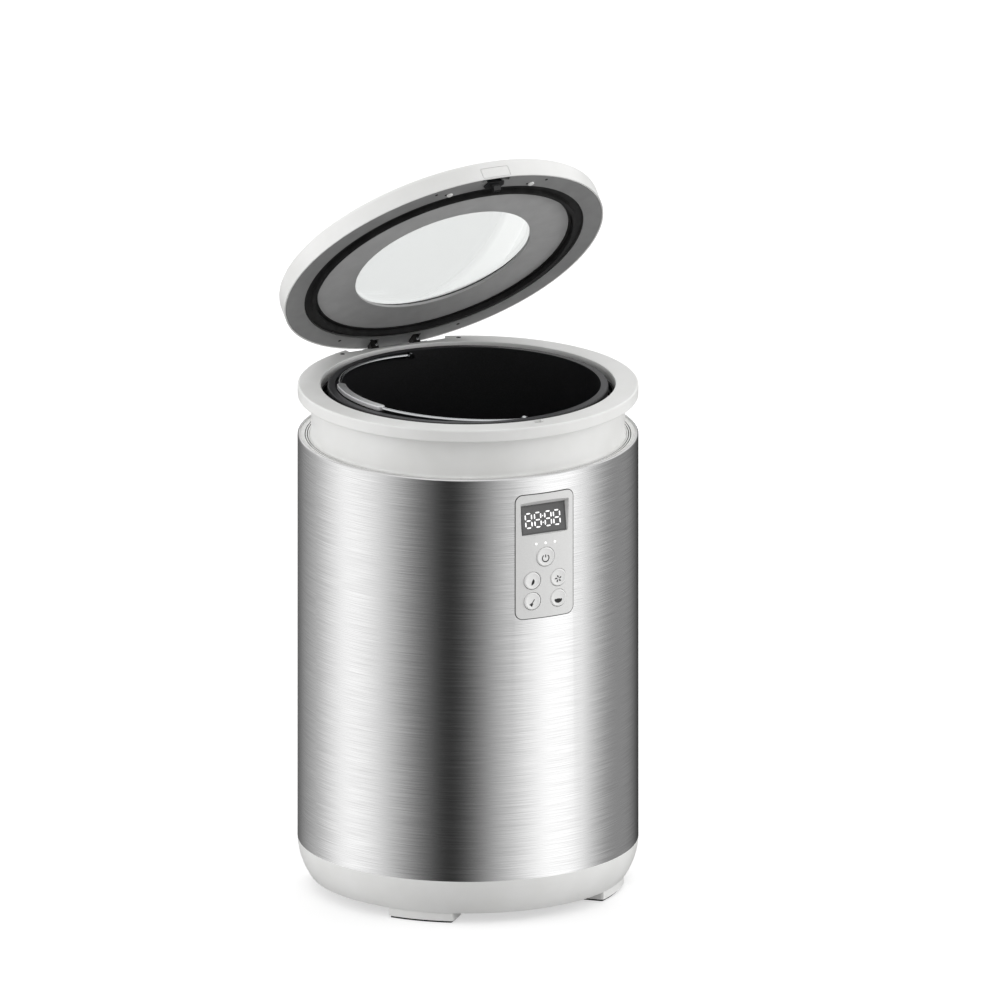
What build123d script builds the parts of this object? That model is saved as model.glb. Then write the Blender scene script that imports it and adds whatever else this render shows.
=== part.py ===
"""Electric food waste composter: a steel drum with a lift-out bucket, a stirring drive below it,
a hinged lid with a window, a control panel in front and a filter drawer behind.

Millimetres. +Z is up, -Y is the front, and the origin is where the drum's axis meets the floor.
The lid stands open, as far as lid_open_angle says.
"""

import os
from math import acos, cos, pi, radians, sin, sqrt, tan

from build123d import *

os.makedirs("parts", exist_ok=True)

# Driving dimensions of the drum, from the floor up
pad_height = 1.6
foot_height = 6.4
pan_height = 26.7
sleeve_height = 307.1
neck_height = 28.2
flange_height = 9.4

# Driving dimensions of the drum, from the outside in
body_radius = 125.0
flange_width = 16.8
flange_overhang = 10.0
mouth_gap = 5.2
lip_width = 5.5
sleeve_wall = 0.8
pan_wall = 2.5
neck_wall = 4.0

# Driving dimensions of the bucket, the lid and the panel
bucket_depth = 160.0
bucket_wall = 1.5
bucket_floor = 2.0
rim_drop = 1.0
lid_inset = 1.5
lid_thickness = 15.5
lid_gap = 1.4
lid_open_angle = 45.0
hinge_inset = 6.5
hinge_drop = 5.2
panel_width = 47.0
panel_height = 94.2
panel_drop = 14.1

# Fits
clearance = 0.3
play = 0.05

# Levels
pan_bottom = pad_height + foot_height
pan_floor = pan_bottom + pan_wall
pan_top = pan_bottom + pan_height
sleeve_top = pan_top + sleeve_height
flange_bottom = sleeve_top + neck_height
flange_top = flange_bottom + flange_height
bucket_rim = flange_top - rim_drop
bucket_inside = bucket_rim - bucket_depth
bucket_bottom = bucket_inside - bucket_floor

# Levels of the drive, from the bucket down
heater_thickness = 12.0
chamber_wall = 0.8
shaft_seal_height = 8.1
cover_boss = 8.0
cover_thickness = 3.0
gearbox_height = 32.0
chassis_thickness = 2.0
plenum_height = 11.9
fan_height = 20.0

heater_top = bucket_bottom - clearance
heater_bottom = heater_top - heater_thickness
chamber_bottom = heater_bottom - chamber_wall
cover_top = chamber_bottom - shaft_seal_height - cover_boss
cover_bottom = cover_top - cover_thickness
gearbox_bottom = cover_bottom - gearbox_height
chassis_top = gearbox_bottom
chassis_bottom = chassis_top - chassis_thickness
plenum_top = chassis_bottom - clearance
plenum_bottom = plenum_top - plenum_height

# Radii
sleeve_inside = body_radius - sleeve_wall
mouth_radius = body_radius - flange_width
neck_radius = body_radius - flange_overhang
neck_inside = neck_radius - neck_wall
lip_radius = mouth_radius - mouth_gap
bucket_radius = lip_radius - lip_width
lid_radius = body_radius - lid_inset
hinge_reach = lid_radius - hinge_inset

# Planes that look out of the front and out of the back, with +Z upward in the sketch
front = Plane(origin=(0, 0, 0), x_dir=(1, 0, 0), z_dir=(0, -1, 0))
back = Plane(origin=(0, 0, 0), x_dir=(-1, 0, 0), z_dir=(0, 1, 0))
through = 2 * body_radius


def depth_at(radius, x):
    """How far from the X axis a circle of this radius runs at x."""
    return sqrt(radius**2 - x**2)


# ---------------------------------------------------------------- base pan, feet and pads
pan_taper = 9.0
pan_bulge_inset = 2.6
pan_bulge_height = 12.5
pan_base_radius = body_radius - pan_taper
pan_bulge_radius = body_radius - pan_bulge_inset
spigot_height = 5.3
spigot_wall = 2.0
foot_count = 4
foot_start = 45.0
foot_width = 50.0
foot_length = 26.0
foot_corner = 5.0
foot_radius = pan_base_radius - 1.0
pad_inset = 1.5

rod_radius = 3.0
rod_circle = (neck_inside + sleeve_inside) / 2
rod_boss_radius = 6.0
rod_boss_height = 19.5
rod_sink = 10.0
board_post_radius = 3.5
board_height = 11.5
board_width = pan_base_radius
board_depth = 76.0
board_y = -0.4 * body_radius
board_post_inset = 5.0
vent_length = 34.0
vent_width = 3.0
vent_spacing = 9.0
vent_rows = 6
vent_y = board_y

box_width = 92.0
box_depth = 84.0
box_inset = 1.4
box_lift = 9.3
box_wall = 2.0
box_back = depth_at(sleeve_inside, box_width / 2) - box_inset
box_front = box_back - box_depth
box_bottom = pan_top + box_lift
box_top = plenum_bottom - fan_height
box_height = box_top - box_bottom
rib_width = 2.4
rib_spacing = 60.0
rib_inset = 12.0
rib_front = box_front + rib_inset
rib_length = 50.0

inlet_width = 26.0
inlet_height = 15.0
inlet_depth = 18.0
inlet_lift = 13.5
inlet_inset = 5.0
inlet_z = pan_bottom + inlet_lift
inlet_face = body_radius - inlet_inset

with BuildPart() as pan_hollow:
    with BuildSketch(Plane.XZ):
        with BuildLine():
            Polyline(
                (0, pan_floor),
                (pan_base_radius - pan_wall, pan_floor),
                (pan_bulge_radius - pan_wall, pan_bottom + pan_bulge_height),
                (sleeve_inside - clearance - spigot_wall, pan_top),
                (sleeve_inside - clearance - spigot_wall, pan_top + spigot_height),
                (0, pan_top + spigot_height),
                close=True,
            )
        make_face()
    revolve(axis=Axis.Z)
    with BuildSketch(Plane.XY.offset(pan_floor)):
        with PolarLocations(rod_circle, foot_count, start_angle=foot_start):
            Circle(rod_boss_radius)
    extrude(amount=rod_boss_height, mode=Mode.SUBTRACT)
    with BuildSketch(Plane.XY.offset(pan_floor)):
        with Locations((0, board_y)):
            with GridLocations(board_width - 2 * board_post_inset, board_depth - 2 * board_post_inset, 2, 2):
                Circle(board_post_radius)
    extrude(amount=board_height, mode=Mode.SUBTRACT)
    with BuildSketch(Plane.XY.offset(pan_floor)):
        with Locations((0, rib_front + rib_length / 2)):
            with GridLocations(rib_spacing, 0, 2, 1):
                Rectangle(rib_width, rib_length)
    extrude(amount=pan_top + spigot_height - pan_floor, mode=Mode.SUBTRACT)

with BuildPart() as base_pan:
    with BuildSketch(Plane.XZ):
        with BuildLine():
            Polyline(
                (body_radius, pan_top),
                (sleeve_inside - clearance, pan_top),
                (sleeve_inside - clearance, pan_top + spigot_height),
                (0, pan_top + spigot_height),
                (0, pan_bottom),
                (pan_base_radius, pan_bottom),
            )
            ThreePointArc(
                (pan_base_radius, pan_bottom),
                (pan_bulge_radius, pan_bottom + pan_bulge_height),
                (body_radius, pan_top),
            )
        make_face()
    revolve(axis=Axis.Z)
    add(pan_hollow.part, mode=Mode.SUBTRACT)
    with BuildSketch(Plane.XY.offset(pan_top + spigot_height)):
        with Locations((0, rib_front + rib_length / 2)):
            with GridLocations(rib_spacing, 0, 2, 1):
                Rectangle(rib_width, rib_length)
    extrude(amount=box_bottom - pan_top - spigot_height)
    with BuildSketch(Plane.XY.offset(pad_height)):
        with PolarLocations(foot_radius - foot_length / 2, foot_count, start_angle=foot_start):
            RectangleRounded(foot_length, foot_width, foot_corner)
        Circle(foot_radius, mode=Mode.INTERSECT)
    extrude(amount=foot_height + pan_wall / 2)
    with BuildSketch(Plane.XY.offset(pan_floor + rod_boss_height)):
        with PolarLocations(rod_circle, foot_count, start_angle=foot_start):
            Circle(rod_radius + play)
    extrude(amount=-rod_sink - play, mode=Mode.SUBTRACT)
    with BuildSketch(Plane.XY.offset(pan_bottom)):
        with Locations((0, vent_y)):
            with GridLocations(0, vent_spacing, 1, vent_rows):
                SlotOverall(vent_length, vent_width)
    extrude(amount=pan_wall, mode=Mode.SUBTRACT)
    with BuildSketch(back.offset(inlet_face - inlet_depth)):
        with Locations((0, inlet_z)):
            Rectangle(inlet_width, inlet_height)
    extrude(amount=through, mode=Mode.SUBTRACT)
base_pan.part.label = "base_pan"
export_step(base_pan.part, "parts/base_pan.step")

with BuildPart() as foot_pads:
    with BuildSketch():
        with PolarLocations(foot_radius - foot_length / 2, foot_count, start_angle=foot_start):
            RectangleRounded(foot_length, foot_width, foot_corner)
        Circle(foot_radius, mode=Mode.INTERSECT)
        offset(amount=-pad_inset)
    extrude(amount=pad_height)
foot_pads.part.label = "foot_pads"
export_step(foot_pads.part, "parts/foot_pads.step")

# ---------------------------------------------------------------- mains inlet in the pan's back
socket_width = 17.0
socket_height = 9.5
socket_depth = 13.0
contact_radius = 1.2
contact_spacing = 8.6
contact_length = 10.0

with BuildPart() as mains_inlet:
    with BuildSketch(back.offset(inlet_face - inlet_depth)):
        with Locations((0, inlet_z)):
            Rectangle(inlet_width - 2 * play, inlet_height - 2 * play)
    extrude(amount=inlet_depth)
    with BuildSketch(back.offset(inlet_face)):
        with Locations((0, inlet_z)):
            SlotOverall(socket_width, socket_height)
    extrude(amount=-socket_depth, mode=Mode.SUBTRACT)
    with BuildSketch(back.offset(inlet_face - socket_depth)):
        with Locations((0, inlet_z)):
            with GridLocations(contact_spacing, 0, 2, 1):
                Circle(contact_radius)
    extrude(amount=contact_length)
mains_inlet.part.label = "mains_inlet"
export_step(mains_inlet.part, "parts/mains_inlet.step")

# ---------------------------------------------------------------- steel sleeve
hem_radius = 1.5
panel_corner = 5.5
panel_top = sleeve_top - panel_drop
panel_middle = panel_top - panel_height / 2
door_width = box_width - 2 * box_wall
door_height = box_height - 2 * box_wall
door_middle = (box_bottom + box_top) / 2
door_corner = 3.0

with BuildPart() as steel_sleeve:
    with BuildSketch(Plane.XZ):
        with BuildLine():
            Polyline(
                (body_radius - hem_radius, sleeve_top - sleeve_wall),
                (body_radius - hem_radius, sleeve_top),
            )
            RadiusArc(
                (body_radius - hem_radius, sleeve_top),
                (body_radius, sleeve_top - hem_radius),
                hem_radius,
            )
            Polyline(
                (body_radius, sleeve_top - hem_radius),
                (body_radius, pan_top),
                (sleeve_inside, pan_top),
                (sleeve_inside, sleeve_top - hem_radius),
            )
            RadiusArc(
                (sleeve_inside, sleeve_top - hem_radius),
                (body_radius - hem_radius, sleeve_top - sleeve_wall),
                -(hem_radius - sleeve_wall),
            )
        make_face()
    revolve(axis=Axis.Z)
    with BuildSketch(front):
        with Locations((0, panel_middle)):
            RectangleRounded(
                panel_width + 2 * clearance, panel_height + 2 * clearance, panel_corner + clearance
            )
    extrude(amount=through, mode=Mode.SUBTRACT)
    with BuildSketch(back):
        with Locations((0, door_middle)):
            RectangleRounded(door_width, door_height, door_corner)
    extrude(amount=through, mode=Mode.SUBTRACT)
steel_sleeve.part.label = "steel_sleeve"
export_step(steel_sleeve.part, "parts/steel_sleeve.step")

# ---------------------------------------------------------------- collar and shoulder ring
shoulder_drop = 1.2
shoulder_thickness = 3.0
collar_foot = 1.2
collar_foot_height = 3.0
collar_flange = 4.6
ledge_height = 3.0
ledge_drop = 15.4
lip_passage = 1.6
flange_edge = 1.3
mouth_edge = 0.6
groove_width = 0.7
groove_depth = 0.6
groove_spacing = 1.6

shoulder_top = sleeve_top - shoulder_drop
shoulder_seat = shoulder_top - shoulder_thickness
collar_bottom = shoulder_seat - collar_flange
ledge_top = flange_top - ledge_drop
ledge_bottom = ledge_top - ledge_height
ledge_radius = lip_radius + lip_passage

bracket_thickness = 1.8
knuckle_radius = 3.6
hinge_flat = hinge_reach - knuckle_radius - clearance - bracket_thickness
hinge_z = flange_top - hinge_drop
lid_rise = hinge_drop + lid_gap
swing_margin = 1.5
swing_half_width = depth_at(lid_radius, hinge_reach) + swing_margin
bracket_screw_radius = 1.5
bracket_screw_spacing = 16.0
bracket_screw_length = 3.0
bracket_screw_drop = 6.5
bracket_edge = 3.5
bracket_screw_z = hinge_z - bracket_screw_drop
bracket_bottom = bracket_screw_z - bracket_edge

hook_width = 5.6
hook_thickness = 3.0
hook_inset = 10.5
hook_nose = 2.4
hook_nose_height = 2.4
hook_drop = 6.5
latch_travel = 2.5
hook_back = lid_radius - hook_inset
catch_room = 1.0
catch_width = hook_width + 2 * clearance + catch_room
catch_length = hook_thickness + hook_nose + 3 * clearance
hook_bottom = flange_top + lid_gap - hook_drop
catch_floor = hook_bottom - catch_room
catch_lip = hook_bottom + hook_nose_height + clearance

with BuildPart() as collar:
    with BuildSketch(Plane.XZ):
        with BuildLine():
            Polyline(
                (neck_radius, shoulder_top + collar_foot_height),
                (neck_radius, flange_bottom),
                (body_radius, flange_bottom),
                (body_radius, flange_top),
                (mouth_radius, flange_top),
                (mouth_radius, ledge_top),
                (ledge_radius, ledge_top),
                (ledge_radius, ledge_bottom),
                (neck_inside, ledge_bottom),
                (neck_inside, collar_bottom),
                (sleeve_inside - clearance, collar_bottom),
                (sleeve_inside - clearance, shoulder_seat),
                (neck_radius + collar_foot, shoulder_seat),
                (neck_radius + collar_foot, shoulder_top),
            )
            Spline(
                (neck_radius + collar_foot, shoulder_top),
                (neck_radius, shoulder_top + collar_foot_height),
                tangents=((-1, 0.2), (0, 1)),
            )
        make_face()
    revolve(axis=Axis.Z)
    fillet(
        collar.edges().filter_by(GeomType.CIRCLE).filter_by(lambda e: abs(e.radius - body_radius) < play),
        radius=flange_edge,
    )
    fillet(
        collar.edges()
        .filter_by(GeomType.CIRCLE)
        .filter_by(lambda e: abs(e.radius - mouth_radius) < play)
        .sort_by(Axis.Z)[-1],
        radius=mouth_edge,
    )
    with BuildSketch(Plane.XY.offset(bracket_bottom)):
        with Locations((0, hinge_flat)):
            Rectangle(2 * swing_half_width, body_radius, align=(Align.CENTER, Align.MIN))
    extrude(amount=flange_top - bracket_bottom, mode=Mode.SUBTRACT)
    with BuildSketch(back.offset(hinge_flat)):
        with Locations((0, bracket_screw_z)):
            with GridLocations(bracket_screw_spacing, 0, 2, 1):
                Circle(bracket_screw_radius + play)
    extrude(amount=-bracket_screw_length + play, mode=Mode.SUBTRACT)
    with BuildSketch(Plane.XY.offset(flange_top)):
        with Locations((0, -(hook_back - latch_travel - 2 * clearance))):
            Rectangle(catch_width, catch_length, align=(Align.CENTER, Align.MAX))
    extrude(amount=catch_floor - flange_top, mode=Mode.SUBTRACT)
    with BuildSketch(Plane.XY.offset(catch_lip)):
        with Locations((0, -hook_back)):
            Rectangle(catch_width, catch_length, align=(Align.CENTER, Align.MAX))
    extrude(amount=catch_floor - catch_lip, mode=Mode.SUBTRACT)
    with BuildSketch(Plane.XY.offset(collar_bottom)):
        with PolarLocations(rod_circle, foot_count, start_angle=foot_start):
            Circle(rod_radius + play)
    extrude(amount=collar_flange - 1.0, mode=Mode.SUBTRACT)
collar.part.label = "collar"
export_step(collar.part, "parts/collar.step")

with BuildPart() as shoulder_ring:
    with BuildSketch(Plane.XZ):
        with Locations((neck_radius + collar_foot + clearance, shoulder_seat)):
            Rectangle(
                sleeve_inside - neck_radius - collar_foot - 2 * clearance,
                shoulder_thickness,
                align=(Align.MIN, Align.MIN),
            )
        for groove in range(2):
            with Locations((neck_radius + collar_foot + groove_spacing * (groove + 1), shoulder_top)):
                Rectangle(groove_width, 2 * groove_depth, mode=Mode.SUBTRACT)
    revolve(axis=Axis.Z)
shoulder_ring.part.label = "shoulder_ring"
export_step(shoulder_ring.part, "parts/shoulder_ring.step")

# ---------------------------------------------------------------- tie rods from the pan to the collar
rod_bottom = pan_floor + rod_boss_height - rod_sink
rod_top = collar_bottom + collar_flange - 1.0 - play

with BuildPart() as tie_rods:
    with BuildSketch(Plane.XY.offset(rod_bottom)):
        with PolarLocations(rod_circle, foot_count, start_angle=foot_start):
            Circle(rod_radius)
    extrude(amount=rod_top - rod_bottom)
tie_rods.part.label = "tie_rods"
export_step(tie_rods.part, "parts/tie_rods.step")

# ---------------------------------------------------------------- hinge bracket, screws and pin
pin_radius = 1.5
arm_width = 6.0
arm_spacing = 34.0
bracket_half_width = 26.0
bracket_top = flange_top - 1.0
hinge_centre = (hinge_reach, hinge_z)
side = Plane(origin=(0, 0, 0), x_dir=(0, 1, 0), z_dir=(1, 0, 0))
inner_knuckle = arm_spacing - arm_width - 2 * clearance
outer_knuckle = bracket_half_width - (arm_spacing + arm_width) / 2 - clearance
outer_knuckle_x = bracket_half_width - outer_knuckle / 2

with BuildPart() as hinge_bracket:
    with BuildSketch(Plane.XY.offset(bracket_bottom)):
        with Locations((0, hinge_flat + bracket_thickness / 2)):
            Rectangle(2 * bracket_half_width, bracket_thickness)
    extrude(amount=bracket_top - bracket_bottom)
    for knuckle_x, knuckle_length in (
        (0, inner_knuckle),
        (-outer_knuckle_x, outer_knuckle),
        (outer_knuckle_x, outer_knuckle),
    ):
        with BuildSketch(side.offset(knuckle_x)):
            with Locations(hinge_centre):
                Circle(knuckle_radius)
            with Locations((hinge_flat + bracket_thickness / 2, hinge_z)):
                Rectangle(
                    knuckle_radius + clearance + bracket_thickness / 2,
                    knuckle_radius,
                    align=(Align.MIN, Align.CENTER),
                )
        extrude(amount=knuckle_length / 2, both=True)
    with BuildSketch(side):
        with Locations(hinge_centre):
            Circle(pin_radius + play)
    extrude(amount=through, both=True, mode=Mode.SUBTRACT)
    with BuildSketch(back.offset(hinge_flat)):
        with Locations((0, bracket_screw_z)):
            with GridLocations(bracket_screw_spacing, 0, 2, 1):
                Circle(bracket_screw_radius + play)
    extrude(amount=bracket_thickness, mode=Mode.SUBTRACT)
hinge_bracket.part.label = "hinge_bracket"
export_step(hinge_bracket.part, "parts/hinge_bracket.step")

with BuildPart() as hinge_pin:
    with BuildSketch(side):
        with Locations(hinge_centre):
            Circle(pin_radius)
    extrude(amount=bracket_half_width, both=True)
    for end in (-1, 1):
        with BuildSketch(side.offset(end * bracket_half_width)):
            with Locations(hinge_centre):
                Circle(pin_radius + 1)
        extrude(amount=end * pin_radius)
hinge_pin.part.label = "hinge_pin"
export_step(hinge_pin.part, "parts/hinge_pin.step")

# ---------------------------------------------------------------- inner chamber, seal and wrap
chamber_rim = 1.2
heater_edge = 6.0
well_radius = 24.0
port_width = 28.0
port_height = 14.0
duct_margin = 6.0
port_drop = 67.0
port_z = flange_top - port_drop
shaft_hole_radius = 13.6
terminal_radius = 2.0
terminal_hole_radius = 4.5
element_circle = 68.0
element_radius = 3.4
sensor_circle = 40.0
sensor_radius = 6.0

chamber_radius = ledge_radius
chamber_inside = chamber_radius - chamber_wall
terminals = [(element_circle * cos(a), element_circle * sin(a)) for a in (radians(82), radians(98))]

with BuildPart() as inner_chamber:
    with BuildSketch(Plane.XZ):
        with BuildLine():
            Polyline(
                (shaft_hole_radius, chamber_bottom),
                (chamber_radius, chamber_bottom),
                (chamber_radius, ledge_bottom - chamber_rim),
                (neck_inside - clearance, ledge_bottom - chamber_rim),
                (neck_inside - clearance, ledge_bottom),
                (chamber_inside, ledge_bottom),
                (chamber_inside, heater_bottom),
                (shaft_hole_radius, heater_bottom),
                close=True,
            )
        make_face()
    revolve(axis=Axis.Z)
    with BuildSketch(back):
        with Locations((0, port_z)):
            Rectangle(port_width, port_height)
    extrude(amount=through, mode=Mode.SUBTRACT)
    with BuildSketch(Plane.XY.offset(chamber_bottom)):
        with Locations(*terminals):
            Circle(terminal_hole_radius)
        with Locations((-sensor_circle, 0)):
            Circle(sensor_radius + clearance)
    extrude(amount=chamber_wall, mode=Mode.SUBTRACT)
inner_chamber.part.label = "inner_chamber"
export_step(inner_chamber.part, "parts/inner_chamber.step")

seal_lip_height = 7.0
seal_base_height = 3.0
seal_lip_width = 1.4

with BuildPart() as mouth_seal:
    with BuildSketch(Plane.XZ):
        with BuildLine():
            Polyline(
                (ledge_radius, ledge_top),
                (mouth_radius - play, ledge_top),
                (mouth_radius - play, ledge_top + seal_lip_height),
                (mouth_radius - play - seal_lip_width, ledge_top + seal_lip_height),
                (mouth_radius - play - seal_lip_width, ledge_top + seal_base_height),
                (ledge_radius, ledge_top + seal_base_height),
                close=True,
            )
        make_face()
    revolve(axis=Axis.Z)
mouth_seal.part.label = "mouth_seal"
export_step(mouth_seal.part, "parts/mouth_seal.step")

with BuildPart() as heater_plate:
    with BuildSketch(Plane.XY.offset(heater_bottom)):
        Circle(chamber_inside - heater_edge)
        Circle(well_radius, mode=Mode.SUBTRACT)
        with Locations((-sensor_circle, 0)):
            Circle(sensor_radius + clearance, mode=Mode.SUBTRACT)
    extrude(amount=heater_thickness)
    with BuildSketch(Plane.XY.offset(heater_bottom)):
        Circle(element_circle + element_radius + play)
        Circle(element_circle - element_radius - play, mode=Mode.SUBTRACT)
    extrude(amount=2 * element_radius + play, mode=Mode.SUBTRACT)
heater_plate.part.label = "heater_plate"
export_step(heater_plate.part, "parts/heater_plate.step")

terminal_length = 6.0

with BuildPart() as heater_element:
    with BuildSketch(Plane.XZ):
        with Locations((element_circle, heater_bottom + element_radius)):
            Circle(element_radius)
    revolve(axis=Axis.Z)
    with BuildSketch(Plane.XY.offset(chamber_bottom - terminal_length)):
        with Locations(*terminals):
            Circle(terminal_radius)
    extrude(amount=terminal_length + chamber_wall + element_radius)
heater_element.part.label = "heater_element"
export_step(heater_element.part, "parts/heater_element.step")

sensor_flange = 2.0
sensor_body = 8.0

with BuildPart() as temperature_sensor:
    with BuildSketch(Plane.XY.offset(chamber_bottom - sensor_body)):
        with Locations((-sensor_circle, 0)):
            Circle(sensor_radius)
    extrude(amount=heater_top - chamber_bottom + sensor_body)
    with BuildSketch(Plane.XY.offset(chamber_bottom)):
        with Locations((-sensor_circle, 0)):
            Circle(sensor_radius + sensor_flange)
    extrude(amount=-sensor_flange)
temperature_sensor.part.label = "temperature_sensor"
export_step(temperature_sensor.part, "parts/temperature_sensor.step")

wrap_margin = 8.0
wrap_thickness = 5.0

with BuildPart() as insulation_wrap:
    with BuildSketch(Plane.XY.offset(chamber_bottom + wrap_margin)):
        Circle(chamber_radius + clearance + wrap_thickness)
        Circle(chamber_radius + clearance, mode=Mode.SUBTRACT)
    extrude(amount=ledge_bottom - chamber_rim - chamber_bottom - 2 * wrap_margin)
    with BuildSketch(back):
        with Locations((0, port_z)):
            Rectangle(port_width + 2 * clearance, port_height + 2 * clearance)
    extrude(amount=through, mode=Mode.SUBTRACT)
insulation_wrap.part.label = "insulation_wrap"
export_step(insulation_wrap.part, "parts/insulation_wrap.step")

# ---------------------------------------------------------------- gearbox, gears and motor
gearbox_floor = 3.0
gearbox_wall = 3.0
output_radius = 6.0
bush_wall = 3.2
gear_gap = 3.0
gear_face = 10.0
wheel_face = 8.0

pressure_angle = radians(20)
backlash = 0.16
final_module = 1.25
final_wheel_teeth = 48
final_pinion_teeth = 16
first_module = 1.0
first_wheel_teeth = 44
first_pinion_teeth = 16
idler_angle = -45.0
motor_angle = -135.0

final_wheel_radius = final_module * final_wheel_teeth / 2
final_pinion_radius = final_module * final_pinion_teeth / 2
first_wheel_radius = first_module * first_wheel_teeth / 2
first_pinion_radius = first_module * first_pinion_teeth / 2
final_distance = final_wheel_radius + final_pinion_radius
first_distance = first_wheel_radius + first_pinion_radius
idler_x = final_distance * cos(radians(idler_angle))
idler_y = final_distance * sin(radians(idler_angle))
motor_x = idler_x + first_distance * cos(radians(motor_angle))
motor_y = idler_y + first_distance * sin(radians(motor_angle))
wheel_bottom = gearbox_bottom + gearbox_floor + gear_gap
wheel_top = wheel_bottom + wheel_face
gear_bottom = wheel_top + gear_gap
gear_top = gear_bottom + gear_face


def gear_points(teeth, module, first_tooth):
    """Corners of a spur gear with involute flanks, with a tooth centred on the angle first_tooth."""
    pitch = module * teeth / 2
    base = pitch * cos(pressure_angle)
    root = pitch - 1.25 * module
    tip = pitch + module
    half_at_pitch = pi / (2 * teeth) - backlash / (2 * pitch)
    flank = []
    for radius in (max(base, root), (max(base, root) + pitch) / 2, pitch, (pitch + tip) / 2, tip):
        turn = acos(min(1.0, base / radius))
        half = half_at_pitch + tan(pressure_angle) - pressure_angle - (tan(turn) - turn)
        flank.append((radius, half))
    flank.insert(0, (min(base, root), flank[0][1]))
    points = []
    for tooth in range(teeth):
        middle = radians(first_tooth) + 2 * pi * tooth / teeth
        rising = [(r * cos(middle - h), r * sin(middle - h)) for r, h in flank]
        falling = [(r * cos(middle + h), r * sin(middle + h)) for r, h in reversed(flank)]
        points += rising + falling
    return points


with BuildPart() as chassis_plate:
    with BuildSketch(Plane.XY.offset(chassis_bottom)):
        Circle(sleeve_inside - clearance)
        with PolarLocations(rod_circle, foot_count, start_angle=foot_start):
            Circle(rod_radius + play, mode=Mode.SUBTRACT)
        with Locations((motor_x, motor_y)):
            Circle(first_pinion_radius, mode=Mode.SUBTRACT)
        with Locations((0, sleeve_inside)):
            Rectangle(port_width + 2 * duct_margin, 2 * (sleeve_inside - neck_inside), mode=Mode.SUBTRACT)
    extrude(amount=chassis_thickness)
chassis_plate.part.label = "chassis_plate"
export_step(chassis_plate.part, "parts/chassis_plate.step")

nut_radius = 4.2
nut_height = 4.0

with BuildPart() as rod_nuts:
    for nut_level in (chassis_bottom - nut_height, chassis_top):
        with BuildSketch(Plane.XY.offset(nut_level)):
            with PolarLocations(rod_circle, foot_count, start_angle=foot_start):
                RegularPolygon(nut_radius, 6)
                Circle(rod_radius + play, mode=Mode.SUBTRACT)
        extrude(amount=nut_height)
rod_nuts.part.label = "rod_nuts"
export_step(rod_nuts.part, "parts/rod_nuts.step")


def gearbox_outline(margin):
    """Rounded outline that wraps the three gear centres at this distance from the gears."""
    with BuildSketch(mode=Mode.PRIVATE) as outline:
        Circle(final_wheel_radius + final_module + margin)
        with Locations((idler_x, idler_y)):
            Circle(first_wheel_radius + first_module + margin)
        with Locations((motor_x, motor_y)):
            Circle(first_pinion_radius + first_module + margin)
        make_hull()
    return outline.sketch


gear_room = 2.0
cover_screw_radius = 1.5
cover_screw_length = 10.0
cover_boss_radius = 4.0
screw_reach = gear_room + gearbox_wall + cover_boss_radius - 1.0
cover_screws_at = [
    (-(final_wheel_radius + screw_reach), 0),
    (0, final_wheel_radius + screw_reach),
    (idler_x + first_wheel_radius + screw_reach, idler_y),
    (motor_x, motor_y - first_pinion_radius - screw_reach),
]

with BuildPart() as gearbox_housing:
    with BuildSketch(Plane.XY.offset(gearbox_bottom)):
        add(gearbox_outline(gear_room + gearbox_wall))
        with Locations(*cover_screws_at):
            Circle(cover_boss_radius)
    extrude(amount=gearbox_height)
    with BuildSketch(Plane.XY.offset(gearbox_bottom + gearbox_floor)):
        add(gearbox_outline(gear_room))
    extrude(amount=gearbox_height, mode=Mode.SUBTRACT)
    with BuildSketch(Plane.XY.offset(gearbox_bottom)):
        Circle(output_radius + bush_wall + play)
        with Locations((motor_x, motor_y)):
            Circle(first_pinion_radius)
    extrude(amount=gearbox_floor, mode=Mode.SUBTRACT)
    with BuildSketch(Plane.XY.offset(cover_bottom)):
        with Locations(*cover_screws_at):
            Circle(cover_screw_radius + play)
    extrude(amount=-cover_screw_length, mode=Mode.SUBTRACT)
gearbox_housing.part.label = "gearbox_housing"
export_step(gearbox_housing.part, "parts/gearbox_housing.step")

with BuildPart() as gearbox_cover:
    with BuildSketch(Plane.XY.offset(cover_bottom)):
        add(gearbox_outline(gear_room + gearbox_wall))
        with Locations(*cover_screws_at):
            Circle(cover_boss_radius)
            Circle(cover_screw_radius + play, mode=Mode.SUBTRACT)
    extrude(amount=cover_thickness)
    with BuildSketch(Plane.XY.offset(cover_top)):
        Circle(shaft_hole_radius)
    extrude(amount=cover_boss)
    with BuildSketch(Plane.XY.offset(cover_bottom)):
        Circle(output_radius + bush_wall + play)
    extrude(amount=cover_thickness + cover_boss, mode=Mode.SUBTRACT)
gearbox_cover.part.label = "gearbox_cover"
export_step(gearbox_cover.part, "parts/gearbox_cover.step")

screw_head_radius = 2.7
screw_head_height = 1.6

with BuildPart() as case_screws:
    with BuildSketch(back.offset(hinge_flat + bracket_thickness)):
        with Locations((0, bracket_screw_z)):
            with GridLocations(bracket_screw_spacing, 0, 2, 1):
                Circle(screw_head_radius)
    extrude(amount=screw_head_height)
    with BuildSketch(back.offset(hinge_flat + bracket_thickness)):
        with Locations((0, bracket_screw_z)):
            with GridLocations(bracket_screw_spacing, 0, 2, 1):
                Circle(bracket_screw_radius)
    extrude(amount=-bracket_thickness - bracket_screw_length + 2 * play)
    with BuildSketch(Plane.XY.offset(cover_top)):
        with Locations(*cover_screws_at):
            Circle(screw_head_radius)
    extrude(amount=screw_head_height)
    with BuildSketch(Plane.XY.offset(cover_top)):
        with Locations(*cover_screws_at):
            Circle(cover_screw_radius)
    extrude(amount=-cover_thickness - cover_screw_length + play)
case_screws.part.label = "case_screws"
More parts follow.
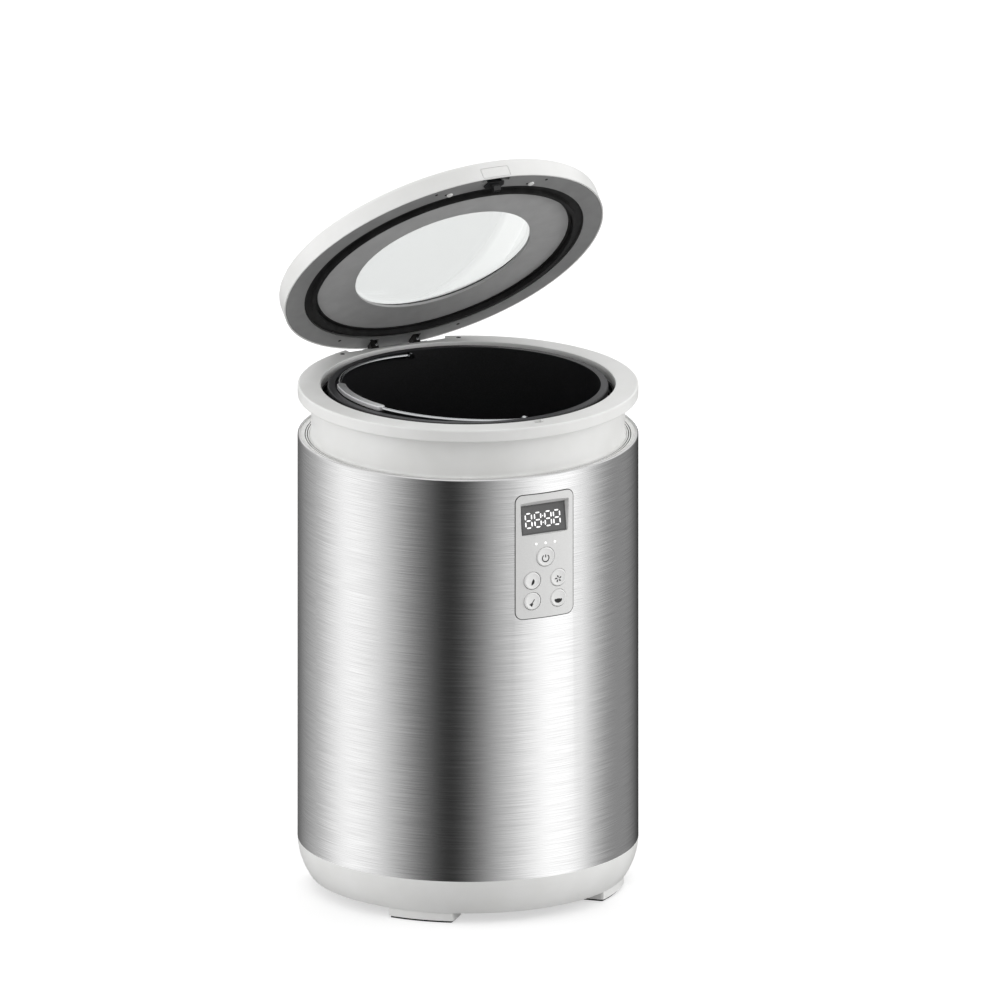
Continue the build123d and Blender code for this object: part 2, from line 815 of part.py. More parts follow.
export_step(case_screws.part, "parts/case_screws.step")

with BuildPart() as shaft_bushes:
    for bush_level, bush_length in (
        (gearbox_bottom, gearbox_floor),
        (cover_bottom, cover_thickness + cover_boss),
    ):
        with BuildSketch(Plane.XY.offset(bush_level)):
            Circle(output_radius + bush_wall)
            Circle(output_radius + play, mode=Mode.SUBTRACT)
        extrude(amount=bush_length)
shaft_bushes.part.label = "shaft_bushes"
export_step(shaft_bushes.part, "parts/shaft_bushes.step")

with BuildPart() as shaft_seal:
    with BuildSketch(Plane.XY.offset(cover_top + cover_boss)):
        Circle(shaft_hole_radius + 2)
        Circle(output_radius + play, mode=Mode.SUBTRACT)
    extrude(amount=shaft_seal_height)
shaft_seal.part.label = "shaft_seal"
export_step(shaft_seal.part, "parts/shaft_seal.step")

# The dog below and the coupling above it each have two lugs, a quarter turn apart
dog_radius = 13.0
dog_lift = 0.5
dog_disc = 2.8
lug_height = 5.0
lug_inner = 5.0
lug_width = 9.0
coupling_gap = 0.3
dog_bottom = heater_bottom + dog_lift
dog_top = dog_bottom + dog_disc


def lug_pair(width, turn):
    """Two lugs opposite each other, inside the dog's outline."""
    with BuildSketch(mode=Mode.PRIVATE) as pair:
        with PolarLocations((dog_radius + lug_inner) / 2, 2, start_angle=turn):
            Rectangle(dog_radius - lug_inner, width)
    return pair.sketch


with BuildPart() as output_shaft:
    with BuildSketch(Plane.XY.offset(gearbox_bottom)):
        Circle(output_radius)
    extrude(amount=dog_bottom - gearbox_bottom)
    with BuildSketch(Plane.XY.offset(dog_bottom)):
        Circle(dog_radius)
    extrude(amount=dog_disc)
    with BuildSketch(Plane.XY.offset(dog_top)):
        add(lug_pair(lug_width, 0))
    extrude(amount=lug_height)
output_shaft.part.label = "output_shaft"
export_step(output_shaft.part, "parts/output_shaft.step")

with BuildPart() as output_gear:
    with BuildSketch(Plane.XY.offset(gear_bottom)):
        with BuildLine():
            Polyline(*gear_points(final_wheel_teeth, final_module, idler_angle), close=True)
        make_face()
    extrude(amount=gear_face)
    with BuildSketch(Plane.XY.offset(gear_top)):
        Circle(output_radius + bush_wall)
    extrude(amount=cover_bottom - gear_top - clearance)
    with BuildSketch(Plane.XY.offset(gear_bottom)):
        Circle(output_radius + play)
    extrude(amount=cover_bottom - gear_bottom, mode=Mode.SUBTRACT)
output_gear.part.label = "output_gear"
export_step(output_gear.part, "parts/output_gear.step")

idler_pin_radius = 3.0
idler_place = Plane(origin=(idler_x, idler_y, 0))
motor_place = Plane(origin=(motor_x, motor_y, 0))
half_pitch_final = 180 / final_pinion_teeth
half_pitch_first = 180 / first_pinion_teeth

with BuildPart() as idler_gear:
    with BuildSketch(idler_place.offset(wheel_bottom)):
        with BuildLine():
            Polyline(*gear_points(first_wheel_teeth, first_module, motor_angle), close=True)
        make_face()
    extrude(amount=wheel_face)
    with BuildSketch(idler_place.offset(wheel_top)):
        with BuildLine():
            Polyline(
                *gear_points(final_pinion_teeth, final_module, idler_angle + 180 + half_pitch_final),
                close=True,
            )
        make_face()
    extrude(amount=gear_top - wheel_top)
    with BuildSketch(idler_place.offset(wheel_bottom)):
        Circle(idler_pin_radius + play)
    extrude(amount=gear_top - wheel_bottom, mode=Mode.SUBTRACT)
idler_gear.part.label = "idler_gear"
export_step(idler_gear.part, "parts/idler_gear.step")

with BuildPart() as idler_pin:
    with BuildSketch(idler_place.offset(gearbox_bottom + gearbox_floor)):
        Circle(idler_pin_radius)
    extrude(amount=gearbox_height - gearbox_floor)
    with BuildSketch(idler_place.offset(gearbox_bottom + gearbox_floor)):
        Circle(idler_pin_radius + 2)
    extrude(amount=gear_gap - clearance)
idler_pin.part.label = "idler_pin"
export_step(idler_pin.part, "parts/idler_pin.step")

motor_shaft_radius = 2.5
motor_radius = 22.0
motor_height = 62.0
motor_wall = 1.4
motor_end = 4.0
armature_radius = 15.0
armature_inset = 12.0
motor_bottom = chassis_bottom - motor_height

with BuildPart() as motor_can:
    with BuildSketch(motor_place.offset(motor_bottom + motor_end)):
        Circle(motor_radius)
    extrude(amount=motor_height - motor_end)
    with BuildSketch(motor_place.offset(motor_bottom + motor_end)):
        Circle(motor_radius - motor_wall)
    extrude(amount=motor_height - 2 * motor_end, mode=Mode.SUBTRACT)
    with BuildSketch(motor_place.offset(motor_bottom)):
        Circle(motor_shaft_radius + play)
    extrude(amount=motor_height, mode=Mode.SUBTRACT)
motor_can.part.label = "motor_can"
export_step(motor_can.part, "parts/motor_can.step")

with BuildPart() as motor_end_cap:
    with BuildSketch(motor_place.offset(motor_bottom)):
        Circle(motor_radius)
        Circle(motor_shaft_radius + play, mode=Mode.SUBTRACT)
    extrude(amount=motor_end)
    with BuildSketch(motor_place.offset(motor_bottom + motor_end)):
        Circle(motor_radius - motor_wall - play)
        Circle(armature_radius + 1, mode=Mode.SUBTRACT)
    extrude(amount=motor_end)
motor_end_cap.part.label = "motor_end_cap"
export_step(motor_end_cap.part, "parts/motor_end_cap.step")

with BuildPart() as motor_rotor:
    with BuildSketch(motor_place.offset(motor_bottom + clearance)):
        Circle(motor_shaft_radius)
    extrude(amount=wheel_top - motor_bottom)
    with BuildSketch(motor_place.offset(motor_bottom + armature_inset)):
        Circle(armature_radius)
        Circle(motor_shaft_radius / 2, mode=Mode.SUBTRACT)
        with PolarLocations(armature_radius, 8):
            Rectangle(armature_radius / 2, motor_shaft_radius, mode=Mode.SUBTRACT)
    extrude(amount=motor_height - 2 * armature_inset)
    with BuildSketch(motor_place.offset(wheel_bottom)):
        with BuildLine():
            Polyline(
                *gear_points(first_pinion_teeth, first_module, motor_angle + 180 + half_pitch_first),
                close=True,
            )
        make_face()
    extrude(amount=wheel_face)
motor_rotor.part.label = "motor_rotor"
export_step(motor_rotor.part, "parts/motor_rotor.step")

# ---------------------------------------------------------------- filter box, fan and air duct
fan_size = 60.0
fan_corner = 4.0
fan_bore = 28.0
fan_hub_radius = 9.0
fan_strut = 3.0
fan_inset = 36.0
fan_y = box_back - fan_inset
blade_count = 7
blade_thickness = 1.6
blade_margin = 1.0
duct_wall = 1.5
duct_width = port_width + 2 * duct_margin - 2 * clearance
duct_front = neck_inside + clearance
duct_back = depth_at(sleeve_inside - 1.0, duct_width / 2)
duct_top = port_z + port_height / 2 + 5.0
plenum_width = fan_size + 2.0
plenum_front = fan_y - plenum_width / 2
plenum_back = duct_front + 2 * duct_wall

with BuildPart() as filter_box:
    with BuildSketch(Plane.XY.offset(box_bottom)):
        with Locations((0, box_front)):
            Rectangle(box_width, box_back - box_front, align=(Align.CENTER, Align.MIN))
    extrude(amount=box_height)
    with BuildSketch(Plane.XY.offset(box_bottom + box_wall)):
        with Locations((0, box_front + box_wall)):
            Rectangle(door_width, box_back - box_front, align=(Align.CENTER, Align.MIN))
    extrude(amount=door_height, mode=Mode.SUBTRACT)
    with BuildSketch(Plane.XY.offset(box_top)):
        with Locations((0, fan_y)):
            Circle(fan_bore)
    extrude(amount=-box_wall, mode=Mode.SUBTRACT)
filter_box.part.label = "filter_box"
export_step(filter_box.part, "parts/filter_box.step")

fan_place = Plane(origin=(0, fan_y, box_top))
fan_pin_radius = 1.5

with BuildPart() as fan_frame:
    with BuildSketch(fan_place):
        RectangleRounded(fan_size, fan_size, fan_corner)
        Circle(fan_bore, mode=Mode.SUBTRACT)
    extrude(amount=fan_height)
    with BuildSketch(fan_place):
        Circle(fan_hub_radius)
        with PolarLocations((fan_bore + fan_hub_radius) / 2, 3):
            Rectangle(fan_bore - fan_hub_radius + fan_strut, fan_strut)
    extrude(amount=fan_strut)
    with BuildSketch(fan_place.offset(fan_strut)):
        Circle(fan_pin_radius)
    extrude(amount=fan_height / 2)
fan_frame.part.label = "fan_frame"
export_step(fan_frame.part, "parts/fan_frame.step")

rotor_bottom = fan_strut + clearance
rotor_height = fan_height - rotor_bottom - 1.0
blade_turn_angle = 35.0

with BuildPart() as fan_rotor:
    for blade in range(blade_count):
        with BuildSketch(
            Plane(
                origin=(0, fan_y, box_top + rotor_bottom + rotor_height / 2),
                x_dir=(
                    -sin(2 * pi * blade / blade_count),
                    cos(2 * pi * blade / blade_count),
                    -tan(radians(blade_turn_angle)),
                ),
                z_dir=(cos(2 * pi * blade / blade_count), sin(2 * pi * blade / blade_count), 0),
            )
        ):
            Rectangle(fan_bore, blade_thickness)
        extrude(amount=fan_bore)
    with BuildSketch(fan_place.offset(rotor_bottom)):
        Circle(fan_bore - blade_margin)
    extrude(amount=rotor_height, mode=Mode.INTERSECT)
    with BuildSketch(fan_place.offset(rotor_bottom)):
        Circle(fan_hub_radius)
    extrude(amount=rotor_height)
    with BuildSketch(fan_place.offset(rotor_bottom)):
        Circle(fan_pin_radius + play)
    extrude(amount=fan_height / 2, mode=Mode.SUBTRACT)
fan_rotor.part.label = "fan_rotor"
export_step(fan_rotor.part, "parts/fan_rotor.step")

with BuildPart() as air_duct:
    for margin, mode in ((0, Mode.ADD), (duct_wall, Mode.SUBTRACT)):
        with BuildSketch(Plane.XY.offset(plenum_bottom - margin)):
            with Locations((0, plenum_front + margin)):
                Rectangle(
                    plenum_width - 2 * margin,
                    plenum_back - plenum_front - 2 * margin,
                    align=(Align.CENTER, Align.MIN),
                )
        extrude(amount=plenum_top - plenum_bottom, mode=mode)
        with BuildSketch(Plane.XY.offset(plenum_bottom + margin)):
            with Locations((0, (duct_front + duct_back) / 2)):
                Rectangle(duct_width - 2 * margin, duct_back - duct_front - 2 * margin)
        extrude(amount=duct_top - plenum_bottom - 2 * margin, mode=mode)
        with BuildSketch(back.offset(chamber_inside)):
            with Locations((0, port_z)):
                Rectangle(port_width - 2 * margin - 2 * play, port_height - 2 * margin - 2 * play)
        extrude(amount=duct_front + 2 * duct_wall - chamber_inside, mode=mode)
air_duct.part.label = "air_duct"
export_step(air_duct.part, "parts/air_duct.step")

# ---------------------------------------------------------------- filter drawer and cartridge
drawer_wall = 1.8
drawer_front = box_front + box_wall + clearance
drawer_inset = 4.0
drawer_back = box_back - drawer_inset
drawer_width = door_width - 2 * clearance
drawer_height = door_height - 2 * clearance
drawer_bottom = door_middle - drawer_height / 2
louvre_length = 58.0
louvre_width = 3.0
louvre_spacing = 7.0
louvre_margin = 7.0
pull_drop = 11.0
pull_width = 34.0
pull_height = 12.0
pull_depth = 9.0
pull_z = drawer_bottom + drawer_height - pull_drop
louvre_space = pull_z - pull_height / 2 - drawer_bottom - 2 * louvre_margin
louvre_rows = int(louvre_space / louvre_spacing) + 1
louvre_z = drawer_bottom + louvre_margin + ((louvre_rows - 1) * louvre_spacing + louvre_width) / 2
cartridge_drop = 15.4
cartridge_height = drawer_height - cartridge_drop

with BuildPart() as filter_drawer:
    with BuildSketch(back.offset(drawer_front)):
        with Locations((0, door_middle)):
            RectangleRounded(drawer_width, drawer_height, door_corner - clearance)
    extrude(amount=body_radius - drawer_front)
    with BuildSketch(Plane.XY.offset(pan_top)):
        Circle(body_radius)
    extrude(amount=sleeve_height, mode=Mode.INTERSECT)
    with BuildSketch(Plane.XY.offset(drawer_bottom + drawer_wall)):
        with Locations((0, drawer_front + drawer_wall)):
            Rectangle(
                drawer_width - 2 * drawer_wall,
                drawer_back - drawer_front - drawer_wall,
                align=(Align.CENTER, Align.MIN),
            )
    extrude(amount=drawer_height, mode=Mode.SUBTRACT)
    with BuildSketch(back.offset(drawer_back - drawer_wall)):
        with Locations((0, louvre_z)):
            with GridLocations(0, louvre_spacing, 1, louvre_rows):
                SlotOverall(louvre_length, louvre_width)
    extrude(amount=through, mode=Mode.SUBTRACT)
    with BuildSketch(back.offset(body_radius - pull_depth)):
        with Locations((0, pull_z)):
            RectangleRounded(pull_width, pull_height, pull_height / 3)
    extrude(amount=through, mode=Mode.SUBTRACT)
filter_drawer.part.label = "filter_drawer"
export_step(filter_drawer.part, "parts/filter_drawer.step")

cell_columns = 6
cell_rows = 5
cell_spacing = 12.0
cell_size = 9.0
cell_depth = 3.0

with BuildPart() as filter_cartridge:
    with BuildSketch(Plane.XY.offset(drawer_bottom + drawer_wall)):
        with Locations((0, (drawer_front + drawer_wall + drawer_back) / 2)):
            RectangleRounded(
                drawer_width - 2 * drawer_wall - 2 * clearance,
                drawer_back - drawer_front - drawer_wall - 2 * clearance,
                door_corner,
            )
    extrude(amount=cartridge_height)
    with BuildSketch(Plane.XY.offset(drawer_bottom + drawer_wall + cartridge_height)):
        with Locations((0, (drawer_front + drawer_wall + drawer_back) / 2)):
            with GridLocations(cell_spacing, cell_spacing, cell_columns, cell_rows):
                Rectangle(cell_size, cell_size)
    extrude(amount=-cell_depth, mode=Mode.SUBTRACT)
filter_cartridge.part.label = "filter_cartridge"
export_step(filter_cartridge.part, "parts/filter_cartridge.step")

# ---------------------------------------------------------------- control board
board_thickness = 1.6
board_bottom = pan_floor + board_height
board_top = board_bottom + board_thickness
board_parts = {
    "transformer": (-40.0, 26.0, 28.0, 24.0, 24.0),
    "relay": (-6.0, 26.0, 18.0, 14.0, 16.0),
    "heat_sink": (32.0, 30.0, 40.0, 10.0, 20.0),
    "filter_coil": (-40.0, -20.0, 22.0, 16.0, 12.0),
    "processor": (-4.0, -10.0, 14.0, 14.0, 4.0),
    "socket": (40.0, -22.0, 20.0, 8.0, 9.0),
}
capacitor_radius = 7.0
capacitor_height = 24.0
capacitors_at = [(20.0, 2.0), (38.0, 2.0)]

with BuildPart() as control_board:
    with BuildSketch(Plane.XY.offset(board_bottom)):
        with Locations((0, board_y)):
            Rectangle(board_width, board_depth)
    extrude(amount=board_thickness)
    for part_x, part_y, part_width, part_depth, part_height in board_parts.values():
        with BuildSketch(Plane.XY.offset(board_top)):
            with Locations((part_x, board_y + part_y)):
                Rectangle(part_width, part_depth)
        extrude(amount=part_height)
    with BuildSketch(Plane(origin=(0, board_y, board_top))):
        with Locations(*capacitors_at):
            Circle(capacitor_radius)
    extrude(amount=capacitor_height)
control_board.part.label = "control_board"
export_step(control_board.part, "parts/control_board.step")

# ---------------------------------------------------------------- control panel
face_proud = 0.4
face_radius = body_radius + face_proud
rim_reach = 2.5
rim_thickness = 2.0
rim_radius = sleeve_inside - clearance
face_back = rim_radius - rim_thickness
face_thickness = face_radius - face_back
panel_bottom = panel_top - panel_height

lens_width = 36.8
lens_height = 21.8
lens_thickness = 1.5
lens_seat = 1.2
lens_tilt = radians(9.2)
lens_depth = 4.0
lens_drop = 20.0
recess_width = 40.8
recess_height = 26.4
recess_drop = 18.1
well_wall = 1.4
well_depth = 9.0
panel_board_depth = 13.4
panel_board_margin = 2.0
post_radius = 2.0
post_inset = 4.0

lens_z = panel_top - lens_drop
recess_z = panel_top - recess_drop
panel_board_face = face_radius - panel_board_depth
lens_plane = Plane(
    origin=(0, -(face_radius - lens_depth), lens_z),
    x_dir=(1, 0, 0),
    z_dir=(0, -cos(lens_tilt), sin(lens_tilt)),
)

power_radius = 7.3
key_radius = 6.6
power_share = 0.4862
upper_key_share = 0.3036
lower_key_share = 0.138
power_z = panel_bottom + power_share * panel_height
upper_key_z = panel_bottom + upper_key_share * panel_height
lower_key_z = panel_bottom + lower_key_share * panel_height
key_x = 10.6
button_proud = 0.5
button_flange = 0.9
button_flange_thickness = 1.2
button_travel = 1.0
switch_size = 6.0
switch_height = 3.5
plunger_radius = 1.7
plunger_height = 0.6
stem_radius = 1.8
buttons = {
    "power_button": (0, power_z, power_radius),
    "dry_button": (-key_x, upper_key_z, key_radius),
    "fan_button": (key_x, upper_key_z, key_radius),
    "clean_button": (-key_x, lower_key_z, key_radius),
    "stir_button": (key_x, lower_key_z, key_radius),
}
indicator_radius = 0.9
indicator_spacing = 7.6
indicator_share = 0.5987
indicator_z = panel_bottom + indicator_share * panel_height

with BuildPart() as panel_rim:
    with BuildSketch(Plane.XY.offset(panel_bottom - rim_reach)):
        Circle(rim_radius)
        Circle(face_back, mode=Mode.SUBTRACT)
    extrude(amount=panel_height + 2 * rim_reach)
    with BuildSketch(front):
        with Locations((0, panel_middle)):
            RectangleRounded(
                panel_width + 2 * rim_reach, panel_height + 2 * rim_reach, panel_corner + rim_reach
            )
    extrude(amount=through, mode=Mode.INTERSECT)

with BuildPart() as panel_fascia:
    with BuildSketch(Plane.XY.offset(panel_bottom)):
        Circle(face_radius)
        Circle(face_back, mode=Mode.SUBTRACT)
    extrude(amount=panel_height)
    with BuildSketch(front):
        with Locations((0, panel_middle)):
            RectangleRounded(panel_width, panel_height, panel_corner)
    extrude(amount=through, mode=Mode.INTERSECT)
    add(panel_rim.part)
    with BuildSketch(front.offset(face_radius - well_depth)):
        with Locations((0, recess_z)):
            Rectangle(recess_width + 2 * well_wall, recess_height + 2 * well_wall)
    extrude(amount=well_depth - face_thickness)
    with BuildSketch(front.offset(face_radius + face_proud)):
        with Locations((0, recess_z)):
            Rectangle(recess_width, recess_height)
    with BuildSketch(lens_plane):
        Rectangle(lens_width, lens_height)
    loft(mode=Mode.SUBTRACT)
    with BuildSketch(lens_plane):
        Rectangle(lens_width + 2 * lens_seat, lens_height + 2 * lens_seat)
    extrude(amount=-through / 2, mode=Mode.SUBTRACT)
    for button_x, button_z, button_radius in buttons.values():
        with BuildSketch(front):
            with Locations((button_x, button_z)):
                Circle(button_radius + clearance)
        extrude(amount=through, mode=Mode.SUBTRACT)
    with BuildSketch(front):
        with Locations((0, indicator_z)):
            with GridLocations(indicator_spacing, 0, 3, 1):
                Circle(indicator_radius + play)
    extrude(amount=through, mode=Mode.SUBTRACT)
    with BuildSketch(front.offset(panel_board_face)):
        with Locations((0, panel_middle)):
            with GridLocations(panel_width - 2 * post_inset, panel_height - 2 * post_inset, 2, 2):
                Circle(post_radius)
    extrude(amount=panel_board_depth - face_thickness)
panel_fascia.part.label = "panel_fascia"
export_step(panel_fascia.part, "parts/panel_fascia.step")

with BuildPart() as display_lens:
    with BuildSketch(lens_plane):
        Rectangle(lens_width + 2 * lens_seat - 2 * play, lens_height + 2 * lens_seat - 2 * play)
    extrude(amount=-lens_thickness)
display_lens.part.label = "display_lens"
export_step(display_lens.part, "parts/display_lens.step")

with BuildPart() as indicator_lights:
    with BuildSketch(front.offset(face_back)):
        with Locations((0, indicator_z)):
            with GridLocations(indicator_spacing, 0, 3, 1):
                Circle(indicator_radius)
    extrude(amount=face_thickness + play)
indicator_lights.part.label = "indicator_lights"
export_step(indicator_lights.part, "parts/indicator_lights.step")

module_width = 34.0
module_height = 19.4
module_depth = 5.6

with BuildPart() as panel_board:
    with BuildSketch(front.offset(panel_board_face)):
        with Locations((0, panel_middle)):
            Rectangle(panel_width - 2 * panel_board_margin, panel_height - 2 * panel_board_margin)
    extrude(amount=-board_thickness)
    with BuildSketch(front.offset(panel_board_face)):
        with Locations((0, lens_z)):
            Rectangle(module_width, module_height)
    extrude(amount=module_depth)
    for button_x, button_z, button_radius in buttons.values():
        with BuildSketch(front.offset(panel_board_face)):
            with Locations((button_x, button_z)):
                Rectangle(switch_size, switch_size)
        extrude(amount=switch_height)
        with BuildSketch(front.offset(panel_board_face + switch_height)):
            with Locations((button_x, button_z)):
                Circle(plunger_radius)
        extrude(amount=plunger_height)
panel_board.part.label = "panel_board"
export_step(panel_board.part, "parts/panel_board.step")

button_back = panel_board_face + switch_height + plunger_height + button_travel + clearance
button_edge = 0.8
for button_name, (button_x, button_z, button_radius) in buttons.items():
    hidden_front = depth_at(face_back, abs(button_x) + button_radius + button_flange)
    with BuildPart() as button:
        with BuildSketch(front.offset(hidden_front - clearance - button_flange_thickness)):
            with Locations((button_x, button_z)):
                Circle(button_radius)
        extrude(
            amount=depth_at(face_radius, button_x)
            + button_proud
            - hidden_front
            + clearance
            + button_flange_thickness
        )
        fillet(button.edges().sort_by(Axis.Y)[0], radius=button_edge)
        with BuildSketch(front.offset(hidden_front - clearance - button_flange_thickness)):
            with Locations((button_x, button_z)):
                Circle(button_radius + button_flange)
        extrude(amount=button_flange_thickness)
        with BuildSketch(front.offset(button_back)):
            with Locations((button_x, button_z)):
                Circle(stem_radius)
        extrude(amount=hidden_front - clearance - button_flange_thickness - button_back)
    button.part.label = button_name
    export_step(button.part, f"parts/{button_name}.step")

# ---------------------------------------------------------------- bucket, bush and bail
bucket_taper = 4.0
bucket_corner = 8.0
lip_thickness = 5.2
lip_edge = 1.2
boss_radius = 13.0
boss_height = 12.0
spindle_radius = 4.0
bush_radius = 9.0
bar_inner_radius = 35.0
bar_width = 6.0
bar_height = 6.0
bar_turns = (60, 240)
blade_height = 14.0
blade_spacing = 28.0
blade_lift = 25.0
bail_drop = 2.6
bail_inset = 3.5
bail_radius = bucket_radius - bail_inset
bail_sag = 0.4
bail_rise_angle = 2.8
bail_wire_radius = 1.4
eye_radius = 2.4
eye_inside = 2.0
eye_outside = 1.5
rivet_radius = 1.1
rivet_head_radius = 2.2
rivet_head_height = 1.0
grip_width = 6.4
grip_thickness = 4.0
grip_length = 64.0
grip_edge = 0.8

bucket_base = bucket_radius - bucket_taper
bail_z = bucket_rim - bail_drop
first_blade_z = bucket_inside + blade_lift
bail_reach = bail_radius - bail_sag
bail_bend = (bail_radius**2 + bail_reach**2) / (2 * bail_reach)
bail_centre = bail_bend - bail_reach
bail_frame = Plane(
    origin=(0, 0, bail_z),
    x_dir=(cos(radians(bail_rise_angle)), 0, -sin(radians(bail_rise_angle))),
    z_dir=(sin(radians(bail_rise_angle)), 0, cos(radians(bail_rise_angle))),
)

with BuildPart() as bucket_hollow:
    with BuildSketch(Plane.XZ):
        with BuildLine():
            Polyline(
                (0, bucket_inside),
                (bucket_base, bucket_inside),
                (bucket_radius, bucket_rim),
                (bucket_radius, bucket_rim + rim_drop),
                (0, bucket_rim + rim_drop),
                close=True,
            )
        make_face()
    revolve(axis=Axis.Z)
    fillet(bucket_hollow.edges().filter_by(GeomType.CIRCLE).sort_by(Axis.Z)[0], radius=bucket_corner)

with BuildPart() as bucket:
    with BuildSketch(Plane.XZ):
        with BuildLine():
            Polyline(
                (0, bucket_bottom),
                (bucket_base + bucket_wall, bucket_bottom),
                (bucket_radius + bucket_wall, bucket_rim - lip_thickness),
                (lip_radius, bucket_rim - lip_thickness),
                (lip_radius, bucket_rim),
                (0, bucket_rim),
                close=True,
            )
        make_face()
    revolve(axis=Axis.Z)
    fillet(bucket.edges().filter_by(GeomType.CIRCLE).sort_by(Axis.Z)[0], radius=bucket_corner)
    add(bucket_hollow.part, mode=Mode.SUBTRACT)
    fillet(
        bucket.edges()
        .filter_by(GeomType.CIRCLE)
        .filter_by(lambda e: abs(e.radius - lip_radius) < play)
        .sort_by(Axis.Z)[-1],
        radius=lip_edge,
    )
    with BuildSketch(Plane.XY.offset(bucket_inside)):
        Circle(boss_radius)
    extrude(amount=boss_height)
    for bar, bar_turn in enumerate(bar_turns):
        bar_rise = blade_lift + (bar + 0.5) * blade_spacing
        bar_end = bucket_base + bucket_taper * bar_rise / bucket_depth + bucket_wall / 2
        with BuildSketch(Plane.XY.offset(bucket_inside + bar_rise)):
            with PolarLocations((bar_inner_radius + bar_end) / 2, 1, start_angle=bar_turn):
                Rectangle(bar_end - bar_inner_radius, bar_width)
        extrude(amount=bar_height / 2, both=True)
    with BuildSketch(Plane.XY.offset(bucket_bottom)):
        Circle(bush_radius + play)
    extrude(amount=bucket_floor + boss_height, mode=Mode.SUBTRACT)
    with BuildSketch(back):
        with Locations((0, bail_z)):
            Circle(rivet_radius + play)
    extrude(amount=body_radius, both=True, mode=Mode.SUBTRACT)
bucket.part.label = "bucket"
export_step(bucket.part, "parts/bucket.step")

with BuildPart() as bucket_bush:
    with BuildSketch(Plane.XY.offset(bucket_bottom)):
        Circle(bush_radius)
        Circle(spindle_radius + play, mode=Mode.SUBTRACT)
    extrude(amount=bucket_floor + boss_height)
bucket_bush.part.label = "bucket_bush"
export_step(bucket_bush.part, "parts/bucket_bush.step")

rivet_inner = bail_radius - eye_inside - clearance
rivet_outer = lip_radius - clearance

with BuildPart() as bail_rivets:
    for end in (-1, 1):
        with BuildSketch(Plane(origin=(0, end * rivet_inner, bail_z), z_dir=(0, end, 0))):
            Circle(rivet_radius)
        extrude(amount=rivet_outer - rivet_inner)
        with BuildSketch(Plane(origin=(0, end * rivet_inner, bail_z), z_dir=(0, end, 0))):
            Circle(rivet_head_radius)
        extrude(amount=-rivet_head_height)
bail_rivets.part.label = "bail_rivets"
export_step(bail_rivets.part, "parts/bail_rivets.step")

with BuildPart() as bail_wire:
    with BuildLine(bail_frame) as bail_path:
        ThreePointArc((0, -bail_radius), (-bail_reach, 0), (0, bail_radius))
    with BuildSketch(Plane(origin=bail_path.line @ 0, z_dir=bail_path.line % 0)):
        Circle(bail_wire_radius)
    sweep(path=bail_path.line)
    for end in (-1, 1):
        with BuildSketch(Plane(origin=(0, end * (bail_radius - eye_inside), bail_z), z_dir=(0, end, 0))):
            Circle(eye_radius)
        extrude(amount=eye_inside + eye_outside)
    with BuildSketch(back):
        with Locations((0, bail_z)):
            Circle(rivet_radius + play)
    extrude(amount=body_radius, both=True, mode=Mode.SUBTRACT)
bail_wire.part.label = "bail_wire"
export_step(bail_wire.part, "parts/bail_wire.step")

grip_turn = 180 * grip_length / (pi * bail_bend)
bail_axis = Axis(bail_frame.origin, bail_frame.z_dir)
bail_bend_axis = Axis(bail_frame.from_local_coords((bail_centre, 0, 0)), bail_frame.z_dir)

with BuildPart() as bail_grip:
    with BuildSketch(bail_frame):
        with BuildLine():
            CenterArc((bail_centre, 0), bail_bend, 180 - grip_turn / 2, grip_turn)
            offset(amount=grip_width / 2, side=Side.BOTH)
        make_face()
    extrude(amount=grip_thickness / 2, both=True)
    fillet(bail_grip.faces().sort_by(bail_axis)[-1].edges(), radius=grip_edge)
    fillet(bail_grip.faces().sort_by(bail_axis)[0].edges(), radius=grip_edge)
    with BuildSketch(Plane(origin=bail_frame.origin, x_dir=bail_frame.x_dir, z_dir=-bail_frame.y_dir)):
        with Locations((-bail_reach, 0)):
            Circle(bail_wire_radius + play)
    revolve(axis=bail_bend_axis, mode=Mode.SUBTRACT)
bail_grip.part.label = "bail_grip"
export_step(bail_grip.part, "parts/bail_grip.step")

# ---------------------------------------------------------------- agitator
hub_radius = 14.0
hub_lift = 0.6
hub_edge = 3.0
blade_tip_gap = 5.5
blade_length = bucket_base - blade_tip_gap
paddle_thickness = 5.0
paddle_lean_angle = 20.0
paddle_draft_angle = 1.0
paddle_levels = 3
paddle_step_angle = 60.0
coupling_disc = 3.3
coupling_bottom = dog_top + lug_height + coupling_gap
hub_bottom = bucket_inside + boss_height + hub_lift
hub_top = first_blade_z + (paddle_levels - 1) * blade_spacing + blade_height

